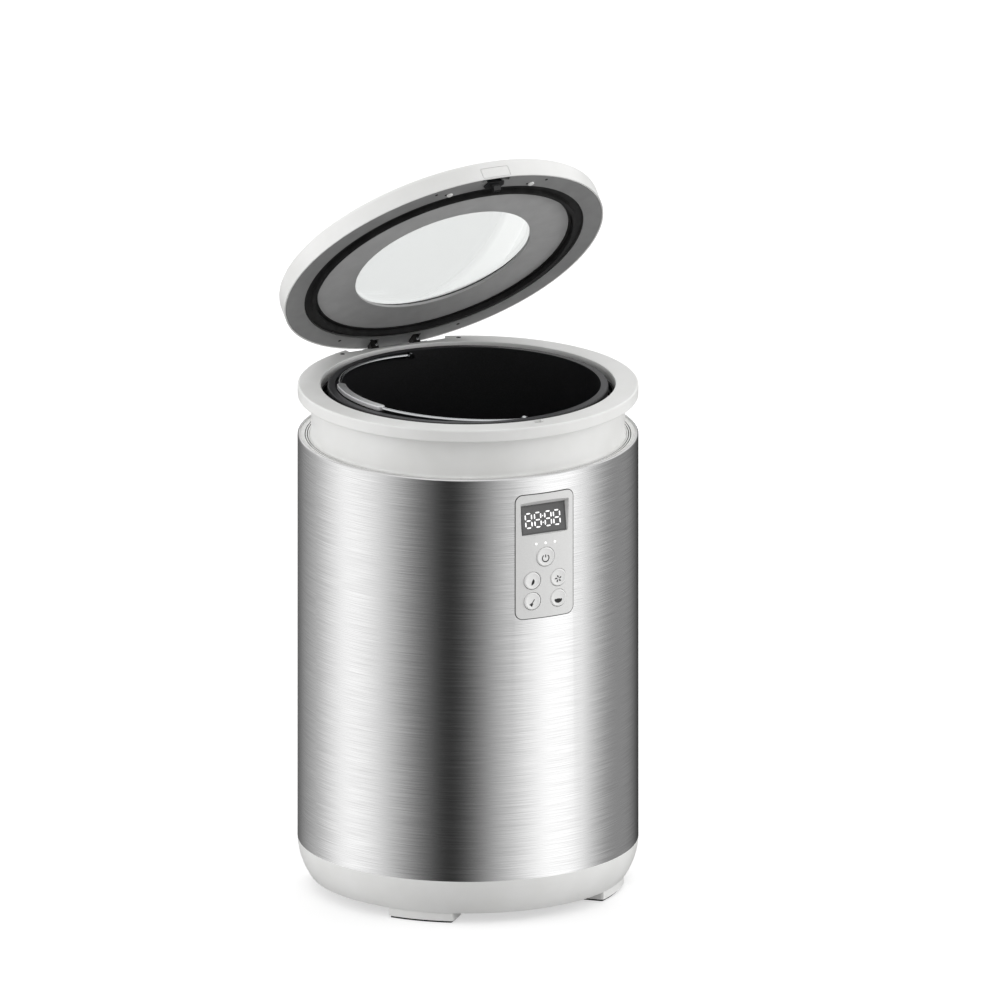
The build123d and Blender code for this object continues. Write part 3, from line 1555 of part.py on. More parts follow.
with BuildPart() as agitator:
    with BuildSketch(Plane.XY.offset(hub_bottom)):
        Circle(hub_radius)
    extrude(amount=hub_top - hub_bottom)
    fillet(agitator.edges().group_by(Axis.Z)[-1], radius=hub_edge)
    for level in range(paddle_levels):
        for half in range(2):
            paddle_angle = level * paddle_step_angle + half * 180
            with BuildSketch(
                Plane(
                    origin=(0, 0, first_blade_z + level * blade_spacing),
                    x_dir=(
                        -sin(radians(paddle_angle)) * cos(radians(paddle_lean_angle)),
                        cos(radians(paddle_angle)) * cos(radians(paddle_lean_angle)),
                        sin(radians(paddle_lean_angle)),
                    ),
                    z_dir=(cos(radians(paddle_angle)), sin(radians(paddle_angle)), 0),
                )
            ):
                Rectangle(paddle_thickness, blade_height)
            extrude(amount=blade_length, taper=paddle_draft_angle)
    with BuildSketch(Plane.XY.offset(coupling_bottom)):
        Circle(spindle_radius)
    extrude(amount=hub_bottom - coupling_bottom)
    with BuildSketch(Plane.XY.offset(coupling_bottom)):
        Circle(dog_radius)
    extrude(amount=coupling_disc)
    with BuildSketch(Plane.XY.offset(coupling_bottom)):
        add(lug_pair(lug_width, 90))
    extrude(amount=-lug_height)
agitator.part.label = "agitator"
export_step(agitator.part, "parts/agitator.step")

# ---------------------------------------------------------------- lid
shell_wall = 2.4
shell_corner = 4.0
seat_wall = 1.1
sheet = 2.4
plate_thickness = 2.0
seat_height = sheet + 0.1
seat_radius = lid_radius - seat_wall
ring_inner = mouth_radius - 0.2
channel_wall = 1.6
channel_height = 8.0
channel_width = 11.0
plate_lift = 2.2
plate_radius = ring_inner - channel_width
plate_wall = 1.5
window_inset = 24.5
window_sight = 4.8
window_radius = plate_radius - window_inset
window_thickness = 3.0
window_view = window_radius - window_sight
window_rebate = 2.5
seal_wall = 0.4
seal_grip = 2.0
funnel_inset = 13.0
funnel_radius = plate_radius - funnel_inset
gasket_gap = 0.4
gasket_bottom = 1.5
gasket_lip = 2.5
gasket_lip_inset = 2.5
gasket_lip_inner = plate_radius + gasket_lip_inset
screw_post_radius = 3.5
outer_post_inset = 9.8
inner_post_inset = 6.0
outer_post_turns = (64.6, 115.4, 252.6, 287.4)
outer_post_circle = lid_radius - outer_post_inset
inner_post_circle = plate_radius - inner_post_inset
outer_posts = [
    (outer_post_circle * cos(radians(turn)), outer_post_circle * sin(radians(turn)))
    for turn in outer_post_turns
]

lid_centre_y = (
    hinge_reach - hinge_reach * cos(radians(lid_open_angle)) + lid_rise * sin(radians(lid_open_angle))
)
lid_centre_z = (
    hinge_z + hinge_reach * sin(radians(lid_open_angle)) + lid_rise * cos(radians(lid_open_angle))
)
lid_frame = Plane(
    origin=(0, lid_centre_y, lid_centre_z),
    x_dir=(1, 0, 0),
    z_dir=(0, sin(radians(lid_open_angle)), cos(radians(lid_open_angle))),
)
lid_front = Plane(origin=lid_frame.origin, x_dir=lid_frame.x_dir, z_dir=-lid_frame.y_dir)
lid_side = Plane(origin=lid_frame.origin, x_dir=lid_frame.y_dir, z_dir=lid_frame.x_dir)
lid_axis = Axis(lid_frame.origin, lid_frame.z_dir)

slider_width = 12.0
slider_bottom = channel_height + clearance + 0.1
slider_thickness = 2.0
slider_length = 9.0
slider_upturn = 1.5
slider_inner = hook_back - slider_length
push_width = 22.0
push_bottom = 1.0
push_top = 8.6
push_inset = 3.5
push_back = lid_radius - push_inset
spring_coil = 1.8
spring_wire = 0.5
spring_turns = 6
spring_length = 7.0
rib_gap = 10.0
rib_y = slider_inner - rib_gap
rib_thickness = 2.0
rib_half_width = 6.0
spring_z = lid_thickness - shell_wall - spring_coil - spring_wire / 2 - clearance
slider_outer = depth_at(lid_radius - shell_wall, slider_width / 2) - clearance
hook_base_width = 16.5
hook_base_front = 5.0
hook_base_back = 4.0
hook_base_taper = 3.0
hook_base_drop = lid_gap - clearance
arm_back = hinge_reach + 2.0
leaf_front = hinge_reach - 5.0
leaf_thickness = 2.0
arm_slot = arm_width + 2 * clearance
plate_top = plate_lift + plate_thickness
window_lift = plate_top + clearance + seal_wall
window_top = window_lift + window_thickness
seal_top = window_top + seal_wall

with BuildPart() as lid_shell:
    with BuildSketch(lid_frame):
        Circle(lid_radius)
    extrude(amount=lid_thickness)
    fillet(
        lid_shell.faces().sort_by(lid_axis)[-1].edges(),
        radius=shell_corner,
    )
    with BuildSketch(lid_frame):
        Circle(seat_radius)
    extrude(amount=seat_height, mode=Mode.SUBTRACT)
    with BuildSketch(lid_frame):
        Circle(lid_radius - shell_wall)
    extrude(amount=lid_thickness - shell_wall, mode=Mode.SUBTRACT)
    with BuildSketch(lid_frame):
        Circle(funnel_radius)
    extrude(amount=lid_thickness, mode=Mode.SUBTRACT)
    with BuildSketch(lid_front):
        with BuildLine():
            Polyline(
                (funnel_radius, lid_thickness),
                (funnel_radius + shell_wall, lid_thickness),
                (funnel_radius + shell_wall, lid_thickness - shell_wall),
                (window_radius - window_rebate + shell_wall, seal_top),
                (window_radius - window_rebate, seal_top),
                close=True,
            )
        make_face()
    revolve(axis=lid_axis)
    with BuildSketch(lid_frame.offset(sheet)):
        with Locations(*outer_posts):
            Circle(screw_post_radius)
    extrude(amount=lid_thickness - shell_wall - sheet)
    with BuildSketch(lid_frame.offset(plate_top)):
        with PolarLocations(inner_post_circle, 4, start_angle=foot_start):
            Circle(screw_post_radius)
    extrude(amount=lid_thickness - shell_wall - plate_top)
    with BuildSketch(lid_frame.offset(slider_bottom)):
        with Locations((0, -rib_y)):
            Rectangle(2 * rib_half_width, rib_thickness, align=(Align.CENTER, Align.MIN))
    extrude(amount=lid_thickness - shell_wall - slider_bottom)
    with BuildSketch(lid_front):
        with Locations((0, (push_bottom + push_top) / 2)):
            RectangleRounded(
                push_width + 2 * clearance, push_top - push_bottom + 2 * clearance, 1 + clearance
            )
    extrude(amount=through, mode=Mode.SUBTRACT)
lid_shell.part.label = "lid_shell"
export_step(lid_shell.part, "parts/lid_shell.step")

with BuildPart() as lid_ring:
    with BuildSketch(lid_front):
        with BuildLine():
            Polyline(
                (ring_inner, 0),
                (seat_radius - clearance, 0),
                (seat_radius - clearance, sheet),
                (ring_inner + channel_wall, sheet),
                (ring_inner + channel_wall, channel_height),
                (plate_radius + gasket_gap, channel_height),
                (plate_radius + gasket_gap, channel_height - plate_thickness),
                (ring_inner, channel_height - plate_thickness),
                close=True,
            )
        make_face()
    revolve(axis=lid_axis)
    with BuildSketch(lid_frame):
        with Locations((0, -hook_back)):
            Rectangle(
                slider_width + 2 * clearance,
                hook_thickness + 2 * clearance + 2 * latch_travel,
            )
        for end in (-1, 1):
            with Locations((end * arm_spacing / 2, hinge_reach - pin_radius - clearance)):
                Rectangle(arm_slot, knuckle_radius + body_radius - hinge_reach)
        with Locations((0, -(push_back - latch_travel - clearance))):
            Rectangle(push_width + 2 * clearance, 2 * shell_corner, align=(Align.CENTER, Align.MAX))
    extrude(amount=sheet, mode=Mode.SUBTRACT)
lid_ring.part.label = "lid_ring"
export_step(lid_ring.part, "parts/lid_ring.step")

with BuildPart() as lid_inner_plate:
    with BuildSketch(lid_front):
        with BuildLine():
            Polyline(
                (window_view, plate_lift),
                (plate_radius, plate_lift),
                (plate_radius, channel_height),
                (plate_radius - plate_wall, channel_height),
                (plate_radius - plate_wall, plate_top),
                (window_view, plate_top),
                close=True,
            )
        make_face()
    revolve(axis=lid_axis)
lid_inner_plate.part.label = "lid_inner_plate"
export_step(lid_inner_plate.part, "parts/lid_inner_plate.step")

with BuildPart() as lid_gasket:
    with BuildSketch(lid_front):
        with BuildLine():
            Polyline(
                (plate_radius + gasket_gap, gasket_bottom),
                (gasket_lip_inner, gasket_bottom),
                (gasket_lip_inner, -(lid_gap + rim_drop - clearance)),
                (gasket_lip_inner + gasket_lip, -(lid_gap + rim_drop - clearance)),
                (gasket_lip_inner + gasket_lip, gasket_bottom),
                (ring_inner - gasket_gap, gasket_bottom),
                (ring_inner - gasket_gap, channel_height - plate_thickness),
                (plate_radius + gasket_gap, channel_height - plate_thickness),
                close=True,
            )
        make_face()
    revolve(axis=lid_axis)
lid_gasket.part.label = "lid_gasket"
export_step(lid_gasket.part, "parts/lid_gasket.step")

with BuildPart() as window_seal:
    with BuildSketch(lid_front):
        with BuildLine():
            Polyline(
                (window_radius - window_rebate, window_lift - seal_wall),
                (window_radius + seal_grip, window_lift - seal_wall),
                (window_radius + seal_grip, seal_top),
                (window_radius - window_rebate, seal_top),
                (window_radius - window_rebate, window_top + play),
                (window_radius + play, window_top + play),
                (window_radius + play, window_lift - play),
                (window_radius - window_rebate, window_lift - play),
                close=True,
            )
        make_face()
    revolve(axis=lid_axis)
window_seal.part.label = "window_seal"
export_step(window_seal.part, "parts/window_seal.step")

with BuildPart() as lid_window:
    with BuildSketch(lid_frame.offset(window_lift)):
        Circle(window_radius)
    extrude(amount=window_thickness)
lid_window.part.label = "lid_window"
export_step(lid_window.part, "parts/lid_window.step")

with BuildPart() as hinge_arms:
    for end in (-1, 1):
        with BuildSketch(lid_side.offset(end * arm_spacing / 2)):
            with Locations((hinge_reach, -lid_rise)):
                Circle(knuckle_radius)
            with BuildLine():
                Polyline(
                    (hinge_reach - knuckle_radius, -lid_rise),
                    (arm_back, -lid_rise),
                    (arm_back, sheet + leaf_thickness),
                    (hinge_reach - knuckle_radius, sheet + leaf_thickness),
                    close=True,
                )
            make_face()
        extrude(amount=arm_width / 2, both=True)
    with BuildSketch(lid_frame.offset(sheet)):
        with Locations((0, leaf_front)):
            Rectangle(arm_spacing + arm_width, arm_back - leaf_front, align=(Align.CENTER, Align.MIN))
    extrude(amount=leaf_thickness)
    with BuildSketch(lid_side):
        with Locations((hinge_reach, -lid_rise)):
            Circle(pin_radius + play)
    extrude(amount=body_radius, both=True, mode=Mode.SUBTRACT)
hinge_arms.part.label = "hinge_arms"
export_step(hinge_arms.part, "parts/hinge_arms.step")

# ---------------------------------------------------------------- latch and its spring
with BuildPart() as latch:
    with BuildSketch(lid_front.offset(push_back)):
        with Locations((0, (push_bottom + push_top) / 2)):
            RectangleRounded(push_width, push_top - push_bottom, 1)
    extrude(amount=lid_radius - push_back)
    with BuildSketch(lid_frame):
        Circle(lid_radius)
    extrude(amount=lid_thickness, mode=Mode.INTERSECT)
    with BuildSketch(lid_frame.offset(push_top - slider_thickness)):
        with Locations((0, -slider_outer)):
            Rectangle(slider_width, slider_thickness, align=(Align.CENTER, Align.MIN))
    extrude(amount=slider_bottom - push_top + 2 * slider_thickness)
    with BuildSketch(lid_frame.offset(slider_bottom)):
        with Locations((0, -slider_outer)):
            Rectangle(slider_width, slider_outer - slider_inner, align=(Align.CENTER, Align.MIN))
    extrude(amount=slider_thickness)
    with BuildSketch(lid_frame.offset(slider_bottom)):
        with Locations((0, -slider_inner)):
            Rectangle(slider_width, slider_upturn, align=(Align.CENTER, Align.MAX))
    extrude(amount=lid_thickness - shell_wall - clearance - slider_bottom)
    with BuildSketch(lid_frame.offset(-hook_base_drop)):
        with Locations((0, -hook_back)):
            Rectangle(slider_width, hook_thickness, align=(Align.CENTER, Align.MAX))
    extrude(amount=slider_bottom + hook_base_drop)
    with BuildSketch(lid_frame.offset(-hook_base_drop)):
        with BuildLine():
            Polyline(
                (-hook_base_width / 2 + hook_base_taper, -hook_back + hook_base_back),
                (hook_base_width / 2 - hook_base_taper, -hook_back + hook_base_back),
                (hook_base_width / 2, -hook_back),
                (hook_base_width / 2 - hook_base_taper / 2, -hook_back - hook_base_front),
                (-hook_base_width / 2 + hook_base_taper / 2, -hook_back - hook_base_front),
                (-hook_base_width / 2, -hook_back),
                close=True,
            )
        make_face()
    extrude(amount=hook_base_drop - clearance)
    with BuildSketch(lid_side):
        with BuildLine():
            Polyline(
                (-hook_back, 0),
                (-hook_back, -hook_drop),
                (-hook_back - hook_thickness, -hook_drop),
                (-hook_back - hook_thickness - hook_nose, -hook_drop + hook_nose_height),
                (-hook_back - hook_thickness, -hook_drop + hook_nose_height),
                (-hook_back - hook_thickness, 0),
                close=True,
            )
        make_face()
    extrude(amount=hook_width / 2, both=True)
latch.part.label = "latch"
export_step(latch.part, "parts/latch.step")

with BuildPart() as latch_spring:
    with BuildLine() as coil:
        Helix(
            pitch=spring_length / spring_turns,
            height=spring_length,
            radius=spring_coil,
            center=lid_frame.from_local_coords((0, -rib_y - spring_wire / 2, spring_z)),
            direction=-lid_frame.y_dir,
        )
    with BuildSketch(Plane(origin=coil.line @ 0, z_dir=coil.line % 0)):
        Circle(spring_wire / 2)
    sweep(path=coil.line)
latch_spring.part.label = "latch_spring"
export_step(latch_spring.part, "parts/latch_spring.step")
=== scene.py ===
"""The looks of an electric food waste composter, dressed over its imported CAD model.

Each section below is one piece, or a few like pieces, in the order in which the machine is put together:
what it is, its sizes in millimetres, its finish, and the CAD body that it moves with.
"""

import bpy
import numpy as np
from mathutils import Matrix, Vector


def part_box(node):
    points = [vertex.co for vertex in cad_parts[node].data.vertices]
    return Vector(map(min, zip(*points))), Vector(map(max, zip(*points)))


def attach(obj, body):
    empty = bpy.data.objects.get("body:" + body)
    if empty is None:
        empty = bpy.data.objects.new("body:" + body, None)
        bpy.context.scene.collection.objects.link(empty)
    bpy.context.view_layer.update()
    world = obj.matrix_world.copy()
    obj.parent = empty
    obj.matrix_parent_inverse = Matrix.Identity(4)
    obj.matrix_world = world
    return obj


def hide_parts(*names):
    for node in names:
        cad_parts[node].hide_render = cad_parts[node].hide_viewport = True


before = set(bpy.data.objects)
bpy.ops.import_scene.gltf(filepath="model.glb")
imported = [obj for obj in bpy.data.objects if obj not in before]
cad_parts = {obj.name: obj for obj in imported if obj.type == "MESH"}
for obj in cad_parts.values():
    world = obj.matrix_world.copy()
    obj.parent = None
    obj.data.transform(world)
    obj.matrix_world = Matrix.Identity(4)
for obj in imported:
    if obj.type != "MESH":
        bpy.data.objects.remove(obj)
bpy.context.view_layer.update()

# ------------------------------------------------------------ foot pads
# Four thin pads under the feet, so that the machine doesn't slide on a worktop.
# They are moulded nitrile rubber, stuck into the hollow of each foot.


def linear(code):
    """Linear RGBA of an sRGB hex colour. A channel c above 0.04045 becomes ((c + 0.055) / 1.055) to the
    power 2.4, and a darker one c / 12.92."""
    channels = np.array([int(code[i : i + 2], 16) for i in (1, 3, 5)]) / 255
    channels = np.where(channels > 0.04045, ((channels + 0.055) / 1.055) ** 2.4, channels / 12.92)
    return (*channels.tolist(), 1.0)


def in_use(source):
    """The socket that a link starts from: the one given, or the first one of a node that is in use."""
    if isinstance(source, bpy.types.NodeSocket):
        return source
    return next(output for output in source.outputs if output.enabled)


def add(tree, kind, links=None, values=None, stops=None, feeds=None, **settings):
    """Adds one node of this kind and returns it, with its settings, its input values and its links.
    Stops are a ramp's positions and sRGB hex colours; feeds is the shader's input that it goes to."""
    node = tree.nodes.new("ShaderNode" + kind)
    for name, value in settings.items():
        setattr(node, name, value)
    for socket, value in (values or {}).items():
        node.inputs[socket].default_value = value
    for socket, source in (links or {}).items():
        tree.links.new(in_use(source), node.inputs[socket])
    for count, (position, code) in enumerate((stops or {}).items()):
        node.color_ramp.elements[count].position = position
        node.color_ramp.elements[count].color = linear(code)
    if feeds:
        tree.links.new(in_use(node), tree.nodes["Principled BSDF"].inputs[feeds])
    return node


def finish(name, colour, roughness, metallic=0.0, ior=1.5, glow=0.0, transmission=0.0):
    """Starts a material, with the shader's numbers that are the same all over. Returns it, its node tree
    and the object's own coordinates, which its textures follow."""
    material = bpy.data.materials.new(name)
    material.use_nodes = True
    shader = material.node_tree.nodes["Principled BSDF"]
    shader.inputs["Base Color"].default_value = linear(colour)
    shader.inputs["Roughness"].default_value = roughness
    shader.inputs["Metallic"].default_value = metallic
    shader.inputs["IOR"].default_value = ior
    shader.inputs["Emission Strength"].default_value = glow
    shader.inputs["Transmission Weight"].default_value = transmission
    return material, material.node_tree, add(material.node_tree, "TexCoord").outputs["Object"]


def dress(material, *names):
    """Gives CAD nodes their finish, through the material slots of their objects."""
    for name in names:
        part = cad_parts[name]
        if not part.material_slots:
            part.data.materials.append(material)
        for place in part.material_slots:
            place.material = material


# Nitrile rubber, moulded: near black and dull, with a bloom that greys it in patches of 15 mm and a
# bump of 1 mm, coarser than the real 0.2 mm so that it shows.
nitrile_rubber, tree, place = finish("Nitrile_rubber_moulded", "#1c1c1c", 0.8)
bloom = add(tree, "TexNoise", {"Vector": place}, {"Scale": 1 / 0.015, "Detail": 3.0})
add(tree, "ValToRGB", {"Fac": bloom}, stops={0.35: "#161616", 0.7: "#262626"}, feeds="Base Color")
grain = add(tree, "TexNoise", {"Vector": place}, {"Scale": 1 / 0.001, "Detail": 2.0})
add(tree, "Bump", {"Height": grain}, {"Strength": 0.3, "Distance": 0.0001}, feeds="Normal")
dress(nitrile_rubber, "foot_pads")

# ------------------------------------------------------------ base pan
# The white pan that closes the drum below, with its feet and the bosses for the tie rods.
# It is moulded ABS from a spark-eroded tool, which leaves an even satin.

# ABS, moulded: a bright neutral white whose satin varies a little, because the tool wears in patches
# of 30 mm; the eroded grain of 0.05 mm is drawn at 0.5 mm, so that it breaks up the highlights.
satin_abs, tree, place = finish("ABS_moulded_satin", "#ececea", 0.36, ior=1.54)
patches = add(tree, "TexNoise", {"Vector": place}, {"Scale": 1 / 0.03, "Detail": 3.0})
add(tree, "ValToRGB", {"Fac": patches}, stops={0.3: "#e8e8e6", 0.75: "#efefee"}, feeds="Base Color")
add(tree, "MapRange", {"Value": patches}, {"To Min": 0.3, "To Max": 0.42}, feeds="Roughness")
grain = add(tree, "TexNoise", {"Vector": place}, {"Scale": 1 / 0.0005, "Detail": 2.0})
add(tree, "Bump", {"Height": grain}, {"Strength": 0.12, "Distance": 0.00005}, feeds="Normal")
dress(satin_abs, "base_pan")

# ------------------------------------------------------------ mains inlet
# The socket for the detachable mains cord, clipped into the pan's back.
# It is glass-filled nylon, moulded, and its two contacts are part of the same insert.

# Nylon with glass fibre, moulded: dark grey with paler fibre streaks about 1.5 mm long near the gate.
filled_nylon, tree, place = finish("Nylon_glass_filled_moulded", "#1e1e20", 0.5, ior=1.53)
lay = add(tree, "Mapping", {"Vector": place}, {"Scale": (1.0, 1.0, 0.25)})
fibres = add(tree, "TexNoise", {"Vector": lay}, {"Scale": 1 / 0.0015, "Detail": 4.0})
add(tree, "ValToRGB", {"Fac": fibres}, stops={0.45: "#1a1a1c", 0.75: "#2c2c30"}, feeds="Base Color")
add(tree, "Bump", {"Height": fibres}, {"Strength": 0.25, "Distance": 0.00006}, feeds="Normal")
dress(filled_nylon, "mains_inlet")

# ------------------------------------------------------------ control board and panel board
# The mains board on the pan's posts and the small board behind the panel, with their soldered parts.
# They are epoxy glass laminate under a green solder mask; what stands above the mask is moulded epoxy.

# Epoxy laminate with solder mask, etched: glossy green over copper tracks 1.2 mm wide, which show as
# paler lines; parts that stand proud of the board are drawn in dull black and a warm grey.
mains_board_top, mask_thickness = 23.6, 0.2
etched_laminate, tree, place = finish("Epoxy_laminate_etched", "#1d5a3c", 0.35, ior=1.55)
tracks = add(
    tree,
    "TexBrick",
    {"Vector": place},
    {
        "Color1": linear("#1a5237"),
        "Color2": linear("#1f5f40"),
        "Mortar": linear("#4c8a5c"),
        "Scale": 1 / 0.006,
        "Mortar Size": 0.1,
    },
)
bodies = add(tree, "TexVoronoi", {"Vector": place}, {"Scale": 1 / 0.02})
cell = bodies.outputs["Color"]
moulded = add(tree, "ValToRGB", {"Fac": cell}, stops={0.45: "#1b1b1d", 0.55: "#6d675c"})
height = add(tree, "SeparateXYZ", {"Vector": place})
proud = add(
    tree,
    "Math",
    {0: height.outputs["Z"]},
    {1: (mains_board_top + mask_thickness) / 1000},
    operation="GREATER_THAN",
)
add(
    tree,
    "Mix",
    {0: proud, 6: tracks.outputs["Color"], 7: moulded},
    data_type="RGBA",
    feeds="Base Color",
)
gaps = tracks.outputs["Fac"]
add(tree, "Bump", {"Height": gaps}, {"Strength": 0.3, "Distance": 0.00005}, feeds="Normal")
dress(etched_laminate, "control_board", "panel_board")

# ------------------------------------------------------------ chassis plate, tie rods, nuts and screws
# The steel frame inside: four rods hold the collar to the pan and carry the plate that bears the drive.
# All of it is mild steel, zinc plated bright, and the screws are the same.

# Steel, zinc plated: a bluish metal with faint spangle of 4 mm and fine drawn lines.
zinc_plate, tree, place = finish("Steel_zinc_plated", "#b9bdc2", 0.34, metallic=1.0)
spangle = add(tree, "TexVoronoi", {"Vector": place}, {"Scale": 1 / 0.004})
flake = spangle.outputs["Color"]
add(tree, "ValToRGB", {"Fac": flake}, stops={0.0: "#adb1b6", 1.0: "#c6cacf"}, feeds="Base Color")
haze = add(tree, "TexNoise", {"Vector": place}, {"Scale": 1 / 0.008, "Detail": 4.0})
add(tree, "MapRange", {"Value": haze}, {"To Min": 0.24, "To Max": 0.46}, feeds="Roughness")
add(tree, "Bump", {"Height": haze}, {"Strength": 0.15, "Distance": 0.0001}, feeds="Normal")
dress(zinc_plate, "chassis_plate", "tie_rods", "rod_nuts", "case_screws")

# ------------------------------------------------------------ gearbox
# The case and its cover around the reduction, screwed down on the chassis plate.
# They are pressure die-cast aluminium, shot blasted to take off the flash.

# Aluminium, die-cast and blasted: a dull pale metal pitted all over, with a grain of 0.8 mm.
cast_aluminium, tree, place = finish("Aluminium_die_cast_blasted", "#a4a6a8", 0.6, metallic=1.0)
pits = add(tree, "TexNoise", {"Vector": place}, {"Scale": 1 / 0.0008, "Detail": 5.0})
add(tree, "ValToRGB", {"Fac": pits}, stops={0.3: "#8b8d90", 0.7: "#b4b6b8"}, feeds="Base Color")
add(tree, "Bump", {"Height": pits}, {"Strength": 0.5, "Distance": 0.0002}, feeds="Normal")
dress(cast_aluminium, "gearbox_housing", "gearbox_cover")

# ------------------------------------------------------------ gears, shafts and pins
# The output shaft with its driving dog, its wheel, the idler with its pinion and the idler's pin.
# They are hobbed from medium carbon steel and run in grease.

# Steel, hobbed and greased: mid grey, glossy where grease lies in patches of 6 mm, with cutter marks.
hobbed_steel, tree, place = finish("Steel_hobbed_greased", "#8e9093", 0.32, metallic=1.0)
grease = add(tree, "TexNoise", {"Vector": place}, {"Scale": 1 / 0.006, "Detail": 3.0})
add(tree, "ValToRGB", {"Fac": grease}, stops={0.4: "#7b7a74", 0.65: "#9c9ea1"}, feeds="Base Color")
add(tree, "MapRange", {"Value": grease}, {"To Min": 0.18, "To Max": 0.42}, feeds="Roughness")
cutter = add(
    tree, "TexWave", {"Vector": place}, {"Scale": 1 / 0.0012, "Distortion": 1.5}, bands_direction="Z"
)
marks = cutter.outputs["Fac"]
add(tree, "Bump", {"Height": marks}, {"Strength": 0.12, "Distance": 0.00005}, feeds="Normal")
dress(hobbed_steel, "output_shaft", "output_gear", "idler_gear", "idler_pin")

# ------------------------------------------------------------ bushes
# The plain bearings of the output shaft and of the agitator's spindle, pressed into their holes.
# They are sintered bronze, which holds its oil.

# Bronze, sintered: a brown metal with open pores of 0.6 mm, darker where the oil sits.
sintered_bronze, tree, place = finish("Bronze_sintered", "#a27a45", 0.45, metallic=1.0)
pores = add(tree, "TexNoise", {"Vector": place}, {"Scale": 1 / 0.0006, "Detail": 3.0})
add(tree, "ValToRGB", {"Fac": pores}, stops={0.38: "#6b4d28", 0.6: "#b08a54"}, feeds="Base Color")
add(tree, "Bump", {"Height": pores}, {"Strength": 0.3, "Distance": 0.0001}, feeds="Normal")
dress(sintered_bronze, "shaft_bushes", "bucket_bush")

# ------------------------------------------------------------ drive motor
# A can motor hung under the chassis plate, with its rotor and pinion and a moulded end cap.
# The can is deep-drawn steel, blackened; the cap is phenolic.

# Steel, drawn and blackened: a deep brown-black with draw lines along the can and rubbed patches.
blackened_steel, tree, place = finish("Steel_drawn_blackened", "#2b2a2a", 0.42, metallic=0.6)
lay = add(tree, "Mapping", {"Vector": place}, {"Scale": (1.0, 1.0, 0.05)})
draw = add(tree, "TexNoise", {"Vector": lay}, {"Scale": 1 / 0.002, "Detail": 4.0})
add(tree, "ValToRGB", {"Fac": draw}, stops={0.4: "#232222", 0.7: "#434140"}, feeds="Base Color")
add(tree, "Bump", {"Height": draw}, {"Strength": 0.2, "Distance": 0.0001}, feeds="Normal")
dress(blackened_steel, "motor_can", "motor_end_cap")

# Steel, laminated and varnished: thin plates 0.5 mm thick seen edge on, drawn at 1 mm so that they show.
laminated_steel, tree, place = finish("Steel_laminated_varnished", "#77695a", 0.35, metallic=0.8)
plates = add(tree, "TexWave", {"Vector": place}, {"Scale": 1 / 0.006}, bands_direction="Z")
edge = plates.outputs["Fac"]
add(tree, "ValToRGB", {"Fac": edge}, stops={0.0: "#5a4d40", 1.0: "#8f8478"}, feeds="Base Color")
add(tree, "Bump", {"Height": edge}, {"Strength": 0.3, "Distance": 0.0001}, feeds="Normal")
dress(laminated_steel, "motor_rotor")

# ------------------------------------------------------------ inner chamber
# The round room that the bucket stands in. It hangs from the collar and is heated from below.
# It is spun from aluminium sheet, so that the tool leaves rings round its axis.

# Aluminium, spun: a pale soft metal with rings 0.8 mm apart, which follow height plus distance out.
spun_aluminium, tree, place = finish("Aluminium_spun", "#b4b6b8", 0.36, metallic=1.0)
axes = add(tree, "SeparateXYZ", {"Vector": place})
flat = add(tree, "CombineXYZ", {"X": axes.outputs["X"], "Y": axes.outputs["Y"]})
radius = add(tree, "VectorMath", {0: flat}, operation="LENGTH")
run = add(tree, "Math", {0: radius, 1: axes.outputs["Z"]}, operation="ADD")
feed = add(tree, "CombineXYZ", {"X": run})
rings = add(tree, "TexNoise", {"Vector": feed}, {"Scale": 1 / 0.0008, "Detail": 3.0})
add(tree, "ValToRGB", {"Fac": rings}, stops={0.35: "#9fa1a4", 0.65: "#bfc1c3"}, feeds="Base Color")
add(tree, "Bump", {"Height": rings}, {"Strength": 0.2, "Distance": 0.0001}, feeds="Normal")
dress(spun_aluminium, "inner_chamber", "heater_plate")

# ------------------------------------------------------------ heating element and temperature sensor
# The ring element lies in a groove of the heater plate; the sensor is held beside it by its flange.
# Both have a sheath of heat-resisting steel, annealed, which has taken a straw and blue tint.

# Steel sheath, annealed: brown to blue oxide in bands of 12 mm, dull.
annealed_sheath, tree, place = finish("Steel_sheath_annealed", "#5a5047", 0.48, metallic=0.9)
oxide = add(tree, "TexNoise", {"Vector": place}, {"Scale": 1 / 0.012, "Detail": 4.0})
add(tree, "ValToRGB", {"Fac": oxide}, stops={0.35: "#4b4136", 0.7: "#525a66"}, feeds="Base Color")
add(tree, "Bump", {"Height": oxide}, {"Strength": 0.1, "Distance": 0.0001}, feeds="Normal")
dress(annealed_sheath, "heater_element", "temperature_sensor")

# ------------------------------------------------------------ insulation wrap
# A blanket round the chamber that keeps the heat off the drum and the panel board.
# It is needled ceramic fibre felt, tied on.

# Ceramic fibre felt, needled: off-white and quite matt, with fibres 3 mm long and needle dimples.
needled_felt, tree, place = finish("Ceramic_felt_needled", "#d6d1c4", 0.98)
fibres = add(tree, "TexNoise", {"Vector": place}, {"Scale": 1 / 0.003, "Detail": 6.0})
fibres.inputs["Distortion"].default_value = 2.0
add(tree, "ValToRGB", {"Fac": fibres}, stops={0.3: "#bfb9aa", 0.7: "#e2ded3"}, feeds="Base Color")
add(tree, "Bump", {"Height": fibres}, {"Strength": 0.8, "Distance": 0.0006}, feeds="Normal")
dress(needled_felt, "insulation_wrap")

# ------------------------------------------------------------ filter box, fan and air duct
# The box that guides the filter drawer, the fan on its roof and the duct up to the chamber's port.
# All four are moulded in the same black polypropylene, straight from a fine textured tool.

